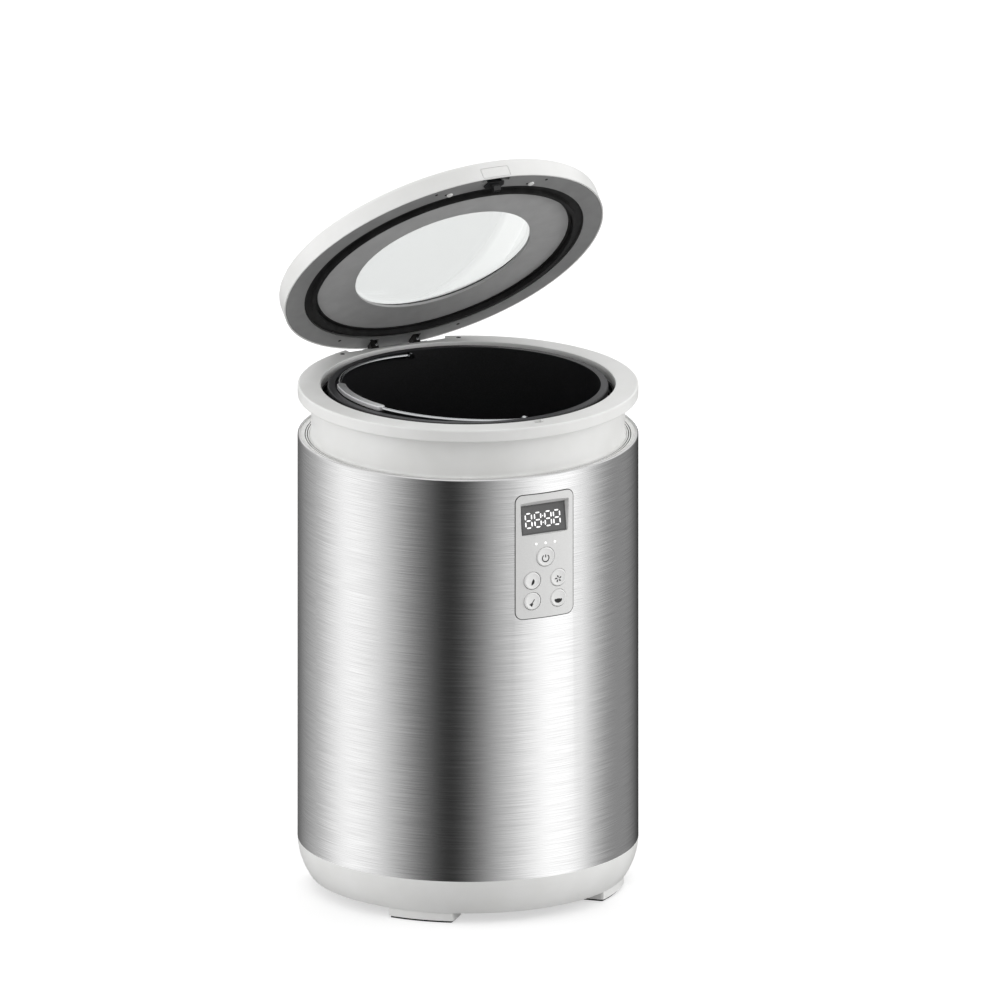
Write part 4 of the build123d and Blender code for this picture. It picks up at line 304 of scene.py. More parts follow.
# Polypropylene, moulded: black with a slight grey sheen and an orange-peel grain of 1 mm.
black_polypropylene, tree, place = finish("Polypropylene_moulded_black", "#19191a", 0.46, ior=1.49)
peel = add(tree, "TexNoise", {"Vector": place}, {"Scale": 1 / 0.001, "Detail": 3.0})
add(tree, "MapRange", {"Value": peel}, {"To Min": 0.36, "To Max": 0.58}, feeds="Roughness")
add(tree, "ValToRGB", {"Fac": peel}, stops={0.35: "#151516", 0.7: "#212123"}, feeds="Base Color")
add(tree, "Bump", {"Height": peel}, {"Strength": 0.25, "Distance": 0.0001}, feeds="Normal")
dress(black_polypropylene, "filter_box", "fan_frame", "fan_rotor", "air_duct")

# ------------------------------------------------------------ filter drawer and cartridge
# The drawer slides out of the drum's back by its moulded pull, and the carbon cartridge lies in it.
# The drawer is the pan's ABS; the cartridge is open foam charged with carbon.

dress(satin_abs, "filter_drawer")

# Polyurethane foam with carbon, cut: black open cells 1.8 mm across that throw no highlight.
carbon_foam, tree, place = finish("Foam_carbon_cut", "#161616", 0.95)
cells = add(tree, "TexVoronoi", {"Vector": place}, {"Scale": 1 / 0.0018})
add(tree, "ValToRGB", {"Fac": cells}, stops={0.2: "#080808", 0.7: "#2b2b2b"}, feeds="Base Color")
add(tree, "Bump", {"Height": cells}, {"Strength": 0.9, "Distance": 0.0008}, feeds="Normal")
dress(carbon_foam, "filter_cartridge")

# ------------------------------------------------------------ steel sleeve
# The drum's skin: one sheet of stainless steel rolled round, hemmed in at the top, with the openings
# for the panel and the drawer punched before rolling. Its belt-brushed lines run round the drum.

# Stainless steel, belt brushed: soft tall reflections, crossed by level hairlines about 40 mm long;
# the real lines are 0.05 mm apart and are drawn at 0.35 mm, so that they show.
drum_radius, line_length, line_pitch = 125.0, 40.0, 0.35
brushed_stainless, tree, place = finish("Stainless_steel_belt_brushed", "#e6e6e6", 0.2, metallic=1.0)
axes = add(tree, "SeparateXYZ", {"Vector": place})
turn = add(tree, "Math", {0: axes.outputs["Y"], 1: axes.outputs["X"]}, operation="ARCTAN2")
along = add(tree, "Math", {0: turn}, {1: drum_radius / line_length}, operation="MULTIPLY")
across = add(tree, "Math", {0: axes.outputs["Z"]}, {1: 1000 / line_pitch}, operation="MULTIPLY")
lines_at = add(tree, "CombineXYZ", {"X": along, "Y": across})
hairlines = add(tree, "TexNoise", {"Vector": lines_at}, {"Scale": 1.0, "Detail": 3.0})
add(tree, "ValToRGB", {"Fac": hairlines}, stops={0.3: "#d2d2d2", 0.7: "#f6f6f6"}, feeds="Base Color")
add(tree, "MapRange", {"Value": hairlines}, {"To Min": 0.15, "To Max": 0.25}, feeds="Roughness")
add(tree, "Bump", {"Height": hairlines}, {"Strength": 0.06, "Distance": 0.00005}, feeds="Normal")
dress(brushed_stainless, "steel_sleeve")

# ------------------------------------------------------------ collar, shoulder ring and mouth seal
# The white neck and mouth flange that close the drum above, and the ring with two grooves at its foot.
# The collar and ring are moulded ABS like the pan; the seal inside the mouth is silicone rubber.

dress(satin_abs, "collar", "shoulder_ring")

# Silicone rubber, moulded: black and soft looking, dusted grey in patches of 8 mm.
silicone_rubber, tree, place = finish("Silicone_rubber_moulded", "#141414", 0.62, ior=1.43)
dust = add(tree, "TexNoise", {"Vector": place}, {"Scale": 1 / 0.008, "Detail": 4.0})
add(tree, "ValToRGB", {"Fac": dust}, stops={0.4: "#111111", 0.75: "#242424"}, feeds="Base Color")
add(tree, "Bump", {"Height": dust}, {"Strength": 0.2, "Distance": 0.0001}, feeds="Normal")
dress(silicone_rubber, "mouth_seal", "shaft_seal")

# ------------------------------------------------------------ hinge bracket and pin
# The lid's hinge: a bracket screwed into the notch at the collar's back, and the pin through it.
# The bracket is the frame's plated steel, and the pin is polished and chrome plated.

dress(zinc_plate, "hinge_bracket")

# Steel, chrome plated: a bright mirror, with faint wipe marks of 5 mm that soften it in places.
chrome_plate, tree, place = finish("Steel_chrome_plated", "#d4d6d8", 0.12, metallic=1.0)
wipes = add(tree, "TexNoise", {"Vector": place}, {"Scale": 1 / 0.005, "Detail": 4.0})
add(tree, "MapRange", {"Value": wipes}, {"To Min": 0.06, "To Max": 0.2}, feeds="Roughness")
add(tree, "Bump", {"Height": wipes}, {"Strength": 0.03, "Distance": 0.0001}, feeds="Normal")
dress(chrome_plate, "hinge_pin")

# ------------------------------------------------------------ panel fascia and indicator lights
# The control panel's face, held from behind in the sleeve's opening, with the display's sloping recess.
# It is moulded ABS, a shade greyer than the collar; the three light guides are clear acrylic, frosted.

# ABS, moulded and lacquered: a smooth light grey that mirrors a little, with a fleck of 0.7 mm.
lacquered_abs, tree, place = finish("ABS_moulded_lacquered", "#e4e4e3", 0.3, ior=1.54)
fleck = add(tree, "TexNoise", {"Vector": place}, {"Scale": 1 / 0.0007, "Detail": 2.0})
add(tree, "ValToRGB", {"Fac": fleck}, stops={0.3: "#e0e0df", 0.7: "#e8e8e7"}, feeds="Base Color")
add(tree, "Bump", {"Height": fleck}, {"Strength": 0.08, "Distance": 0.00005}, feeds="Normal")
dress(lacquered_abs, "panel_fascia")

# A thin seal of the same rubber as the mouth's fills the slit round the fascia. With t the turn along
# the outline, its points are at x, z on the rounded rectangle and y = -sqrt(radius^2 - x^2).
seal_inside, seal_outside, seal_low, seal_high = 0.05, 0.6, 124.4, 125.25
outline_half = np.array([47.0 / 2, 94.2 / 2])
outline_corner, outline_middle = 5.5, 280.6
corner_steps, side_steps, shortest_side = 10, 12, 5.0


def rounded_outline(half, corner, spread):
    """The points of a rounded rectangle that is spread outwards: its corner's centre plus
    (corner + spread) times (cos, sin) of a quarter turn, for each corner in turn. Each straight side
    is cut in 12."""
    quarter = np.linspace(0, np.pi / 2, corner_steps)
    points = []
    for count, (right, high) in enumerate(((1, 1), (-1, 1), (-1, -1), (1, -1))):
        centre = (half - corner) * (right, high)
        turn = quarter + count * np.pi / 2
        points.append(centre + (corner + spread) * np.stack([np.cos(turn), np.sin(turn)], 1))
    corners = np.concatenate(points)
    ahead = np.roll(corners, -1, 0) - corners
    straight = np.linalg.norm(ahead, axis=1)[:, None] > shortest_side
    share = np.where(straight, np.linspace(0, 1, side_steps + 1)[None, :-1], 0)
    line = corners[:, None] + share[..., None] * ahead[:, None]
    keep = np.concatenate([np.ones((len(corners), 1), bool), share[:, 1:] > 0], 1)
    return line[keep]


loops = []
for spread, radius in (
    (seal_inside, seal_high),
    (seal_outside, seal_high),
    (seal_outside, seal_low),
    (seal_inside, seal_low),
):
    line = rounded_outline(outline_half, outline_corner, spread)
    loops.append(
        np.stack([line[:, 0], -np.sqrt(radius**2 - line[:, 0] ** 2), line[:, 1] + outline_middle], 1)
    )
seal_points = np.stack(loops, 1)
here = np.arange(seal_points[..., 0].size).reshape(-1, 4)
ahead, around = np.roll(here, -1, 0), np.roll(here, -1, 1)
seal_faces = np.stack([around, np.roll(ahead, -1, 1), ahead, here], -1).reshape(-1, 4)
panel_seal = (seal_points.reshape(-1, 3), seal_faces)

# Acrylic, frosted and lit from behind: a white glow, a little uneven across each 1.8 mm dot.
frosted_acrylic, tree, place = finish("Acrylic_frosted_lit", "#f6f6f4", 0.4, ior=1.49, glow=0.5)
cloud = add(tree, "TexNoise", {"Vector": place}, {"Scale": 1 / 0.0009})
tone = add(tree, "ValToRGB", {"Fac": cloud}, stops={0.0: "#f0f0ee", 1.0: "#ffffff"}, feeds="Base Color")
tree.links.new(tone.outputs["Color"], tree.nodes["Principled BSDF"].inputs["Emission Color"])
dress(frosted_acrylic, "indicator_lights")

# ------------------------------------------------------------ display lens and digits
# The tinted window of the display in its sloping recess, with four seven-segment digits and a colon.
# The lens is cast acrylic, smoke tinted; the lit segments show through and are laid on its front.

# Acrylic, cast and tinted: flat smoke grey with a clean shine, darker in the last 1.8 mm to its edges.
lens_origin = np.array([0.0, -121.4, 307.7])
lens_tilt = np.radians(9.2)
lens_size, edge_shade = (36.8, 21.8), 1.8
tinted_acrylic, tree, place = finish("Acrylic_cast_tinted", "#5a5a5a", 0.1, ior=1.49)
centred = add(tree, "Mapping", {"Vector": place}, {"Location": (0.0, 0.0, -lens_origin[2] / 1000)})
away = add(tree, "VectorMath", {0: centred}, operation="ABSOLUTE")
axes = add(tree, "SeparateXYZ", {"Vector": away})
side = add(
    tree,
    "MapRange",
    {"Value": axes.outputs["X"]},
    {"From Min": (lens_size[0] / 2 - edge_shade) / 1000, "From Max": lens_size[0] / 2000},
)
end = add(
    tree,
    "MapRange",
    {"Value": axes.outputs["Z"]},
    {"From Min": (lens_size[1] / 2 - edge_shade) / 1000, "From Max": lens_size[1] / 2000},
)
edge = add(tree, "Math", {0: side, 1: end}, operation="MAXIMUM")
add(tree, "ValToRGB", {"Fac": edge}, stops={0.0: "#5c5c5c", 1.0: "#3a3a3a"}, feeds="Base Color")
dress(tinted_acrylic, "display_lens")


def made_piece(name, points, faces, material, body, slot, smooth=False):
    """Makes one piece from points in millimetres and faces, with its finish and its body. The slot is not
    used.
    """
    mesh = bpy.data.meshes.new(name)
    mesh.from_pydata((np.asarray(points) / 1000).tolist(), [], [list(map(int, face)) for face in faces])
    mesh.materials.append(material)
    mesh.polygons.foreach_set("use_smooth", np.full(len(mesh.polygons), smooth))
    mesh.update()
    piece = bpy.data.objects.new(name, mesh)
    bpy.context.scene.collection.objects.link(piece)
    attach(piece, body)
    return piece


made_piece("panel_seal", *panel_seal, silicone_rubber, "housing", "black_rubber")


def ribbon(path, widths, low, high, origin, across, up):
    """Points and faces of a flat stroke with thickness. A point of the stroke is the path's point plus
    or minus half the width at right angles to the path, at the heights low and high above the plane
    that the directions across and up span at origin. Each step's corners are joined to the next's."""
    path = np.asarray(path, float)
    widths = np.broadcast_to(np.asarray(widths, float), (len(path),))
    ahead = np.gradient(path, axis=0)
    ahead /= np.linalg.norm(ahead, axis=1, keepdims=True)
    left = np.stack([-ahead[:, 1], ahead[:, 0]], 1) * widths[:, None] / 2
    flat = np.stack([path + left, path - left, path - left, path + left], 1)
    out = np.broadcast_to(np.array([high, high, low, low]), flat.shape[:2])
    across, up = np.asarray(across, float), np.asarray(up, float)
    points = (
        np.asarray(origin, float)
        + flat[..., :1] * across
        + flat[..., 1:] * up
        + out[..., None] * np.cross(across, up)
    )
    here = np.arange(len(path) * 4).reshape(-1, 4)
    around = np.roll(here, -1, 1)
    sides = np.stack([around[:-1], around[1:], here[1:], here[:-1]], -1).reshape(-1, 4)
    caps = np.stack([here[0][::-1], here[-1]])
    return points.reshape(-1, 3), np.concatenate([sides, caps])


def gathered(strokes):
    """Joins strokes into one mesh; each one's faces are counted on from the last one's points."""
    starts = np.cumsum([0] + [len(points) for points, _ in strokes[:-1]])
    points = np.concatenate([points for points, _ in strokes])
    return points, np.concatenate([faces + start for (_, faces), start in zip(strokes, starts)])


# A segment is a bar with pointed ends; its width rises from the tip over one half of a stroke's width.
digit_width, digit_height, segment_width = 6.0, 11.6, 0.95
digits_at = (-12.0, -4.45, 4.0, 11.1)
colon_x, dot_rise, dot_radius, dot_tip = -0.3, 2.5, 0.45, 0.02
segment_trim, segment_back, segment_front = 0.15, -0.02, 0.06
digits_z = -0.6
lens_up = np.array([0.0, np.sin(lens_tilt), np.cos(lens_tilt)])
digit_origin = lens_origin + digits_z * lens_up
segment_steps = np.array([0.0, 0.16, 0.5, 0.84, 1.0])
segment_widths = segment_width * np.array([0.05, 1.0, 1.0, 1.0, 0.05])
half_width, half_height = (digit_width - segment_width) / 2, (digit_height - segment_width) / 2
segment_ends = (
    ((-half_width, half_height), (half_width, half_height)),
    ((-half_width, 0.0), (half_width, 0.0)),
    ((-half_width, -half_height), (half_width, -half_height)),
    ((-half_width, 0.0), (-half_width, half_height)),
    ((half_width, 0.0), (half_width, half_height)),
    ((-half_width, -half_height), (-half_width, 0.0)),
    ((half_width, -half_height), (half_width, 0.0)),
)
strokes = []
for digit_x in digits_at:
    for start, stop in segment_ends:
        start, stop = np.array(start), np.array(stop)
        trim = segment_trim * (stop - start)
        path = (start + trim) + segment_steps[:, None] * (stop - start - 2 * trim)
        path = path + (digit_x, 0.0)
        strokes.append(
            ribbon(path, segment_widths, segment_back, segment_front, digit_origin, (1, 0, 0), lens_up)
        )
dot_line = np.linspace(-dot_radius, dot_radius, 7)
dot_widths = 2 * np.sqrt(np.maximum(dot_radius**2 - dot_line**2, dot_tip**2))
for dot_z in (-dot_rise, dot_rise):
    path = np.stack([colon_x + dot_line, np.full_like(dot_line, dot_z)], 1)
    strokes.append(
        ribbon(path, dot_widths, segment_back, segment_front, digit_origin, (1, 0, 0), lens_up)
    )

# Light-emitting segment, diffused: an even white that glows by itself, with a soft mottle of 1 mm.
lit_segment, tree, place = finish("Acrylic_diffused_lit", "#ffffff", 0.5, ior=1.49, glow=0.7)
cloud = add(tree, "TexNoise", {"Vector": place}, {"Scale": 1 / 0.001})
add(tree, "ValToRGB", {"Fac": cloud}, stops={0.0: "#f4f4f4", 1.0: "#ffffff"}, feeds="Emission Color")
made_piece("display_digits", *gathered(strokes), lit_segment, "housing", "light_guide")

# ------------------------------------------------------------ keys and their signs
# Five round keys pushed through the fascia, each with a raised rim and a shallow dish below its middle.
# The keys are moulded ABS with a silk finish; a generic sign is pad printed in each dish in dark ink.

# ABS, moulded silk: pale grey, a little brighter than the fascia, with a grain of 0.6 mm that
# softens the highlight on each rim.
silk_abs, tree, place = finish("ABS_moulded_silk", "#f0f0ef", 0.28, ior=1.54)
grain = add(tree, "TexNoise", {"Vector": place}, {"Scale": 1 / 0.0006, "Detail": 2.0})
add(tree, "MapRange", {"Value": grain}, {"To Min": 0.22, "To Max": 0.36}, feeds="Roughness")
add(tree, "Bump", {"Height": grain}, {"Strength": 0.06, "Distance": 0.00005}, feeds="Normal")
dress(silk_abs, "power_button", "dry_button", "fan_button", "clean_button", "stir_button")


def turned(rows, centre, out, aside, steps=72, closed=False):
    """Points and faces of a body turned round an axis. Each row is (radius, height, shift): its points
    are centre + shift * aside + height * out + radius * (cos * aside + sin * out x aside), for a full
    turn. A row of no radius is one point, so that a fan closes the body there. A closed body is a ring,
    whose last row is joined to its first."""
    out, aside = np.asarray(out, float), np.asarray(aside, float)
    turn = np.linspace(0, 2 * np.pi, steps, endpoint=False)
    circle = np.cos(turn)[:, None] * aside + np.sin(turn)[:, None] * np.cross(out, aside)
    points, faces, last = [], [], None
    for radius, height, shift in rows:
        middle = np.asarray(centre, float) + height * out + shift * aside
        row = middle + radius * circle if radius else middle[None]
        here = np.arange(len(row)) + sum(map(len, points))
        points.append(row)
        if last is not None:
            ring = here if len(here) > 1 else last
            after = np.roll(ring, -1)
            if len(last) == 1:
                faces += np.stack([np.full(steps, last[0]), after, ring], 1).tolist()
            elif len(here) == 1:
                faces += np.stack([ring, after, np.full(steps, here[0])], 1).tolist()
            else:
                faces += np.stack([last, np.roll(last, -1), after, ring], 1).tolist()
        last = here
    if closed:
        first = np.arange(steps)
        faces += np.stack([last, np.roll(last, -1), np.roll(first, -1), first], 1).tolist()
    return np.concatenate(points), faces


key_depth, rim_fillet, rim_flat, rim_dip = 4.0, 1.1, 0.35, 0.35
dish_depth, dish_drop, dish_share = 0.45, 1.1, 0.5
rim_turn = np.radians(np.linspace(0, 90, 7))
key_places = {
    "power_button": (0.0, 279.3, 7.3),
    "dry_button": (-10.6, 262.1, 6.6),
    "fan_button": (10.6, 262.1, 6.6),
    "clean_button": (-10.6, 246.5, 6.6),
    "stir_button": (10.6, 246.5, 6.6),
}


def eased(step):
    """3 step^2 - 2 step^3, which climbs from 0 to 1 and is level at both."""
    return 3 * step**2 - 2 * step**3


for key, (key_x, key_z, key_radius) in key_places.items():
    key_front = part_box(key)[0].y * 1000
    dish_radius = dish_share * key_radius
    rows = [(0.0, -key_depth, 0.0), (key_radius, -key_depth, 0.0)]
    for a in rim_turn:
        rows.append((key_radius - rim_fillet * (1 - np.cos(a)), -rim_fillet * (1 - np.sin(a)), 0.0))
    rows += [
        (key_radius - rim_fillet - rim_flat * step, -dish_depth * eased(step) * rim_dip, 0.0)
        for step in np.linspace(0.2, 1, 4)
    ]
    rim_inside = rows[-1][0]
    rows += [
        (
            rim_inside + (dish_radius - rim_inside) * step,
            -dish_depth * (rim_dip + (1 - rim_dip) * eased(step)),
            -dish_drop * step,
        )
        for step in np.linspace(0.15, 1, 6)
    ]
    rows.append((0.0, -dish_depth, -dish_drop))
    dished = turned(rows, (key_x, key_front, key_z), (0, -1, 0), (0, 0, 1))
    cap = made_piece(key + "_cap", *dished, silk_abs, key, "button_plastic", smooth=True)
    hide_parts(key)

# Ink, pad printed: matt near-black, thinner in flecks of 0.4 mm as a soft pad leaves it.
pad_ink, tree, place = finish("Ink_pad_printed", "#1d1d1e", 0.6)
cover = add(tree, "TexNoise", {"Vector": place}, {"Scale": 1 / 0.0004})
add(tree, "ValToRGB", {"Fac": cover}, stops={0.0: "#171718", 1.0: "#2a2a2b"}, feeds="Base Color")

sign_scale, stroke_scale, ink_back, ink_front = 1.15, 1.3, -0.02, 0.04
steps = np.linspace(0, 1, 25)
power_arc = np.radians(125 + 290 * steps)
power_radius, power_line = 2.35, 0.62
power_sign = [
    (power_radius * np.stack([np.cos(power_arc), np.sin(power_arc)], 1), power_line),
    (np.stack([0 * steps, 0.5 + 1.9 * steps], 1), power_line),
]
leaf = np.stack([0.5 * np.sin(np.pi * steps) - 0.7 + 1.4 * steps, -2.1 + 4.2 * steps], 1)
drying_sign = [(leaf, 0.04 + 1.6 * np.sin(np.pi * steps) ** 0.8)]
petals, fan_sign = 5, []
for petal in range(petals):
    petal_turn = np.radians(90 + 360 / petals * petal) + 0.3 * steps
    reach = 0.4 + 2.1 * steps
    petal_path = np.stack([reach * np.cos(petal_turn), reach * np.sin(petal_turn)], 1)
    fan_sign.append((petal_path, 0.04 + 0.85 * np.sin(np.pi * steps**1.3)))
cleaning_sign = [
    (np.stack([-0.2 + 1.7 * steps, -0.3 + 2.4 * steps], 1), 0.55),
    (np.stack([-1.3 + 1.4 * steps, -1.9 + 1.5 * steps], 1), 2.2 - 1.1 * steps),
]
bowl_width, bowl_drop = 4.8, 2.6
bowl_depth = np.sqrt(np.maximum(1 - (2 * steps - 1) ** 2, 0.002)) * bowl_drop
bowl_middle = 0.5 - bowl_depth * stroke_scale / sign_scale / 2
stirring_sign = [(np.stack([bowl_width * (steps - 0.5), bowl_middle], 1), bowl_depth)]
key_signs = {
    "power_button": power_sign,
    "dry_button": drying_sign,
    "fan_button": fan_sign,
    "clean_button": cleaning_sign,
    "stir_button": stirring_sign,
}
for key, sign in key_signs.items():
    key_x, key_z, _ = key_places[key]
    sign_origin = (key_x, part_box(key)[0].y * 1000 + dish_depth, key_z - dish_drop)
    strokes = []
    for path, widths in sign:
        path, widths = sign_scale * path, stroke_scale * widths
        strokes.append(ribbon(path, widths, ink_back, ink_front, sign_origin, (1, 0, 0), (0, 0, 1)))
    made_piece(key + "_sign", *gathered(strokes), pad_ink, key, "black_plastic")

# ------------------------------------------------------------ bucket
# The lift-out bucket that takes the waste, with its flat lip, a boss for the spindle and breaker bars.
# It is cast aluminium, turned at the lip, and sprayed inside and out with a dark non-stick coat.

# Non-stick coat, sprayed on aluminium: near black with a fleck of 0.9 mm, and on the lip's flat top a
# painted highlight, lighter grey in fine turned rings, which fades out between 0.2 and 0.6 mm below the
# rim.
bucket_rim, highlight_full, highlight_none = 378.4, 0.2, 0.6
sprayed_coat, tree, place = finish("Nonstick_sprayed_on_aluminium", "#1b1b1c", 0.42, ior=1.4)
fleck = add(tree, "TexNoise", {"Vector": place}, {"Scale": 1 / 0.0009, "Detail": 3.0})
coat = add(tree, "ValToRGB", {"Fac": fleck}, stops={0.4: "#141415", 0.72: "#222224"})
axes = add(tree, "SeparateXYZ", {"Vector": place})
flat = add(tree, "CombineXYZ", {"X": axes.outputs["X"], "Y": axes.outputs["Y"]})
radius = add(tree, "VectorMath", {0: flat}, operation="LENGTH")
feed = add(tree, "CombineXYZ", {"X": radius})
rings = add(tree, "TexNoise", {"Vector": feed}, {"Scale": 1 / 0.0004, "Detail": 2.0})
# Painted highlight: the lip's flat top is lighter grey in place of the light that it catches.
painted_lip_highlight = add(tree, "ValToRGB", {"Fac": rings}, stops={0.3: "#2a2a2c", 0.7: "#3e3e40"})
lip_highlight_mask = add(
    tree,
    "MapRange",
    {"Value": axes.outputs["Z"]},
    {"From Min": (bucket_rim - highlight_none) / 1000, "From Max": (bucket_rim - highlight_full) / 1000},
)
add(tree, "Mix", {0: lip_highlight_mask, 6: coat, 7: painted_lip_highlight}, data_type="RGBA", feeds="Base Color")
add(tree, "Bump", {"Height": fleck}, {"Strength": 0.2, "Distance": 0.0001}, feeds="Normal")
dress(sprayed_coat, "bucket", "agitator")

# ------------------------------------------------------------ bail, rivets and grip
# The bucket's handle: a bent wire on two rivets, with a flat grip pressed over its middle.
# The wire and rivets are steel, chrome plated like the hinge's pin; the grip is brushed stainless steel.

dress(chrome_plate, "bail_wire", "bail_rivets")

# Stainless steel, brushed flat: hairlines across the grip, 0.4 mm apart, as pale as the drum.
brushed_grip, tree, place = finish("Stainless_steel_brushed", "#f2f2f3", 0.38, metallic=1.0)
lay = add(tree, "Mapping", {"Vector": place}, {"Scale": (0.03, 1.0, 0.03)})
hairlines = add(tree, "TexNoise", {"Vector": lay}, {"Scale": 1 / 0.0004, "Detail": 3.0})
add(tree, "ValToRGB", {"Fac": hairlines}, stops={0.3: "#ececee", 0.7: "#fafafb"}, feeds="Base Color")
add(tree, "Bump", {"Height": hairlines}, {"Strength": 0.1, "Distance": 0.00005}, feeds="Normal")
dress(brushed_grip, "bail_grip")

# ------------------------------------------------------------ lid
# The shell outside, the ring and the plate inside it, the gasket between those, the window and its seal.
# The shell is the collar's ABS; the ring and plate are grey filled polypropylene, both moulded.

dress(satin_abs, "lid_shell")

# Polypropylene with talc, moulded: dull, with flow marks of 12 mm and a grain of 0.8 mm. The plate is a
# mid grey; the ring is darker and has a little more sheen, so that the two read as separate mouldings.
talc_finishes = {
    "lid_inner_plate": ("Polypropylene_talc_filled_moulded", "#b6b6b6", 0.5, "#b1b1b1", "#bcbcbc"),
    "lid_ring": ("Polypropylene_talc_filled_dark", "#8c8c8c", 0.46, "#878787", "#919191"),
}
for lid_part, (name, grey, roughness, low_grey, high_grey) in talc_finishes.items():
    filled_polypropylene, tree, place = finish(name, grey, roughness)
    flow = add(tree, "TexNoise", {"Vector": place}, {"Scale": 1 / 0.012, "Detail": 4.0})
    add(tree, "ValToRGB", {"Fac": flow}, stops={0.3: low_grey, 0.75: high_grey}, feeds="Base Color")
    grain = add(tree, "TexNoise", {"Vector": place}, {"Scale": 1 / 0.0008, "Detail": 2.0})
    add(tree, "Bump", {"Height": grain}, {"Strength": 0.15, "Distance": 0.0001}, feeds="Normal")
    dress(filled_polypropylene, lid_part)
dress(silicone_rubber, "lid_gasket", "window_seal")

# Glass, toughened and polished: clear, with the faint ripple of 25 mm that toughening leaves.
toughened_glass, tree, place = finish("Glass_toughened_polished", "#e9ebea", 0.02, transmission=1.0)
ripple = add(tree, "TexNoise", {"Vector": place}, {"Scale": 1 / 0.025})
add(tree, "Bump", {"Height": ripple}, {"Strength": 0.02, "Distance": 0.0002}, feeds="Normal")
dress(toughened_glass, "lid_window")

# ------------------------------------------------------------ hinge arms, latch and spring
# Two steel arms carry the lid on its pin; the push latch in the lid's front rim has a hook and a spring.
# The arms are blackened with chrome studs, the latch is black polypropylene, the spring is bare wire.

dress(blackened_steel, "hinge_arms")
dress(hobbed_steel, "latch_spring")

# Polypropylene, moulded in two shots: the black of the hook and slide, and the lid's white on the push
# pad, which is all that lies further out than the lid's rim there; both with a grain of 1 mm.
lid_origin = np.array([0.0, 38.94, 461.60])
lid_across = np.array([1.0, 0.0, 0.0])
lid_back = np.array([0.0, np.sqrt(0.5), -np.sqrt(0.5)])
lid_out = np.array([0.0, np.sqrt(0.5), np.sqrt(0.5)])
pad_height, pad_depth = 0.5, -117.5
two_shot, tree, place = finish("Polypropylene_moulded_two_shot", "#19191a", 0.42, ior=1.49)
peel = add(tree, "TexNoise", {"Vector": place}, {"Scale": 1 / 0.001, "Detail": 3.0})
black_shot = add(tree, "ValToRGB", {"Fac": peel}, stops={0.0: "#111112", 1.0: "#242426"})
white_shot = add(tree, "ValToRGB", {"Fac": peel}, stops={0.0: "#e8e8e6", 1.0: "#efefee"})
from_middle = add(
    tree, "VectorMath", {0: place}, {1: tuple((lid_origin / 1000).tolist())}, operation="SUBTRACT"
)
height = add(
    tree, "VectorMath", {0: from_middle}, {1: tuple(lid_out.tolist())}, operation="DOT_PRODUCT"
)
depth = add(
    tree, "VectorMath", {0: from_middle}, {1: tuple(lid_back.tolist())}, operation="DOT_PRODUCT"
)
above = add(tree, "Math", {0: height}, {1: pad_height / 1000}, operation="GREATER_THAN")
outside = add(tree, "Math", {0: depth}, {1: pad_depth / 1000}, operation="LESS_THAN")
pad = add(tree, "Math", {0: above, 1: outside}, operation="MULTIPLY")
add(tree, "Mix", {0: pad, 6: black_shot, 7: white_shot}, data_type="RGBA", feeds="Base Color")
add(tree, "Bump", {"Height": peel}, {"Strength": 0.2, "Distance": 0.0001}, feeds="Normal")
dress(two_shot, "latch")

# ------------------------------------------------------------ stops, their painted shadows and plugs of the lid's ring
# Two low round stops that the lid closes on, each with a dark disc beside it as its painted shadow, and
# the plugs over the ring's screws, in moulding holes. The stops are the lid's white ABS and the plugs
# and painted shadows are silicone rubber; all are pressed in.

stop_places = ((-33.4, -106.0), (33.4, -106.0))
stop_radius, stop_height, stop_fillet, set_in = 2.4, 0.8, 0.6, 0.4
# The first two are dark discs beside the stops, painted shadows of the stops; the rest are plugs.
ring_plug_and_shadow_places = (
    (-36.8, -106.6, 1.0),
    (30.0, -106.6, 1.0),
    (-45.2, -108.8, 1.2),
    (45.2, -108.8, 1.2),
    (-48.7, 102.8, 1.3),
    (48.7, 102.8, 1.3),
    (-60.6, 86.0, 1.3),
    (60.6, 86.0, 1.3),
    (-20.4, 109.2, 1.1),
)
disc_flat, disc_height, disc_dimple = 0.7, 0.12, 0.05
dome_turn = np.radians(np.linspace(0, 90, 6))
for count, (x, y) in enumerate(stop_places):
    rows = [(0.0, -set_in, 0.0), (stop_radius, -set_in, 0.0)]
    for a in dome_turn:
        inwards, downwards = stop_fillet * (1 - np.cos(a)), stop_fillet * (1 - np.sin(a))
        rows.append((stop_radius - inwards, stop_height - downwards, 0.0))
    rows.append((0.0, stop_height, 0.0))
    centre = lid_origin + x * lid_across + y * lid_back
    stop = turned(rows, centre, -lid_out, lid_across, 32)
    made_piece(f"lid_stop_{count}", *stop, satin_abs, "lid", "white_plastic", smooth=True)
for count, (x, y, disc_radius) in enumerate(ring_plug_and_shadow_places):
    rows = [(0.0, -set_in, 0.0), (disc_radius, -set_in, 0.0)]
    for a in dome_turn:
        share = disc_flat + (1 - disc_flat) * np.cos(a)
        rows.append((share * disc_radius, disc_height * np.sin(a), 0.0))
    rows.append((0.0, disc_dimple, 0.0))
    centre = lid_origin + x * lid_across + y * lid_back
    rubber_dome = turned(rows, centre, -lid_out, lid_across, 24)
    made_piece(f"ring_plug_and_shadow_{count}", *rubber_dome, silicone_rubber, "lid", "black_rubber", smooth=True)
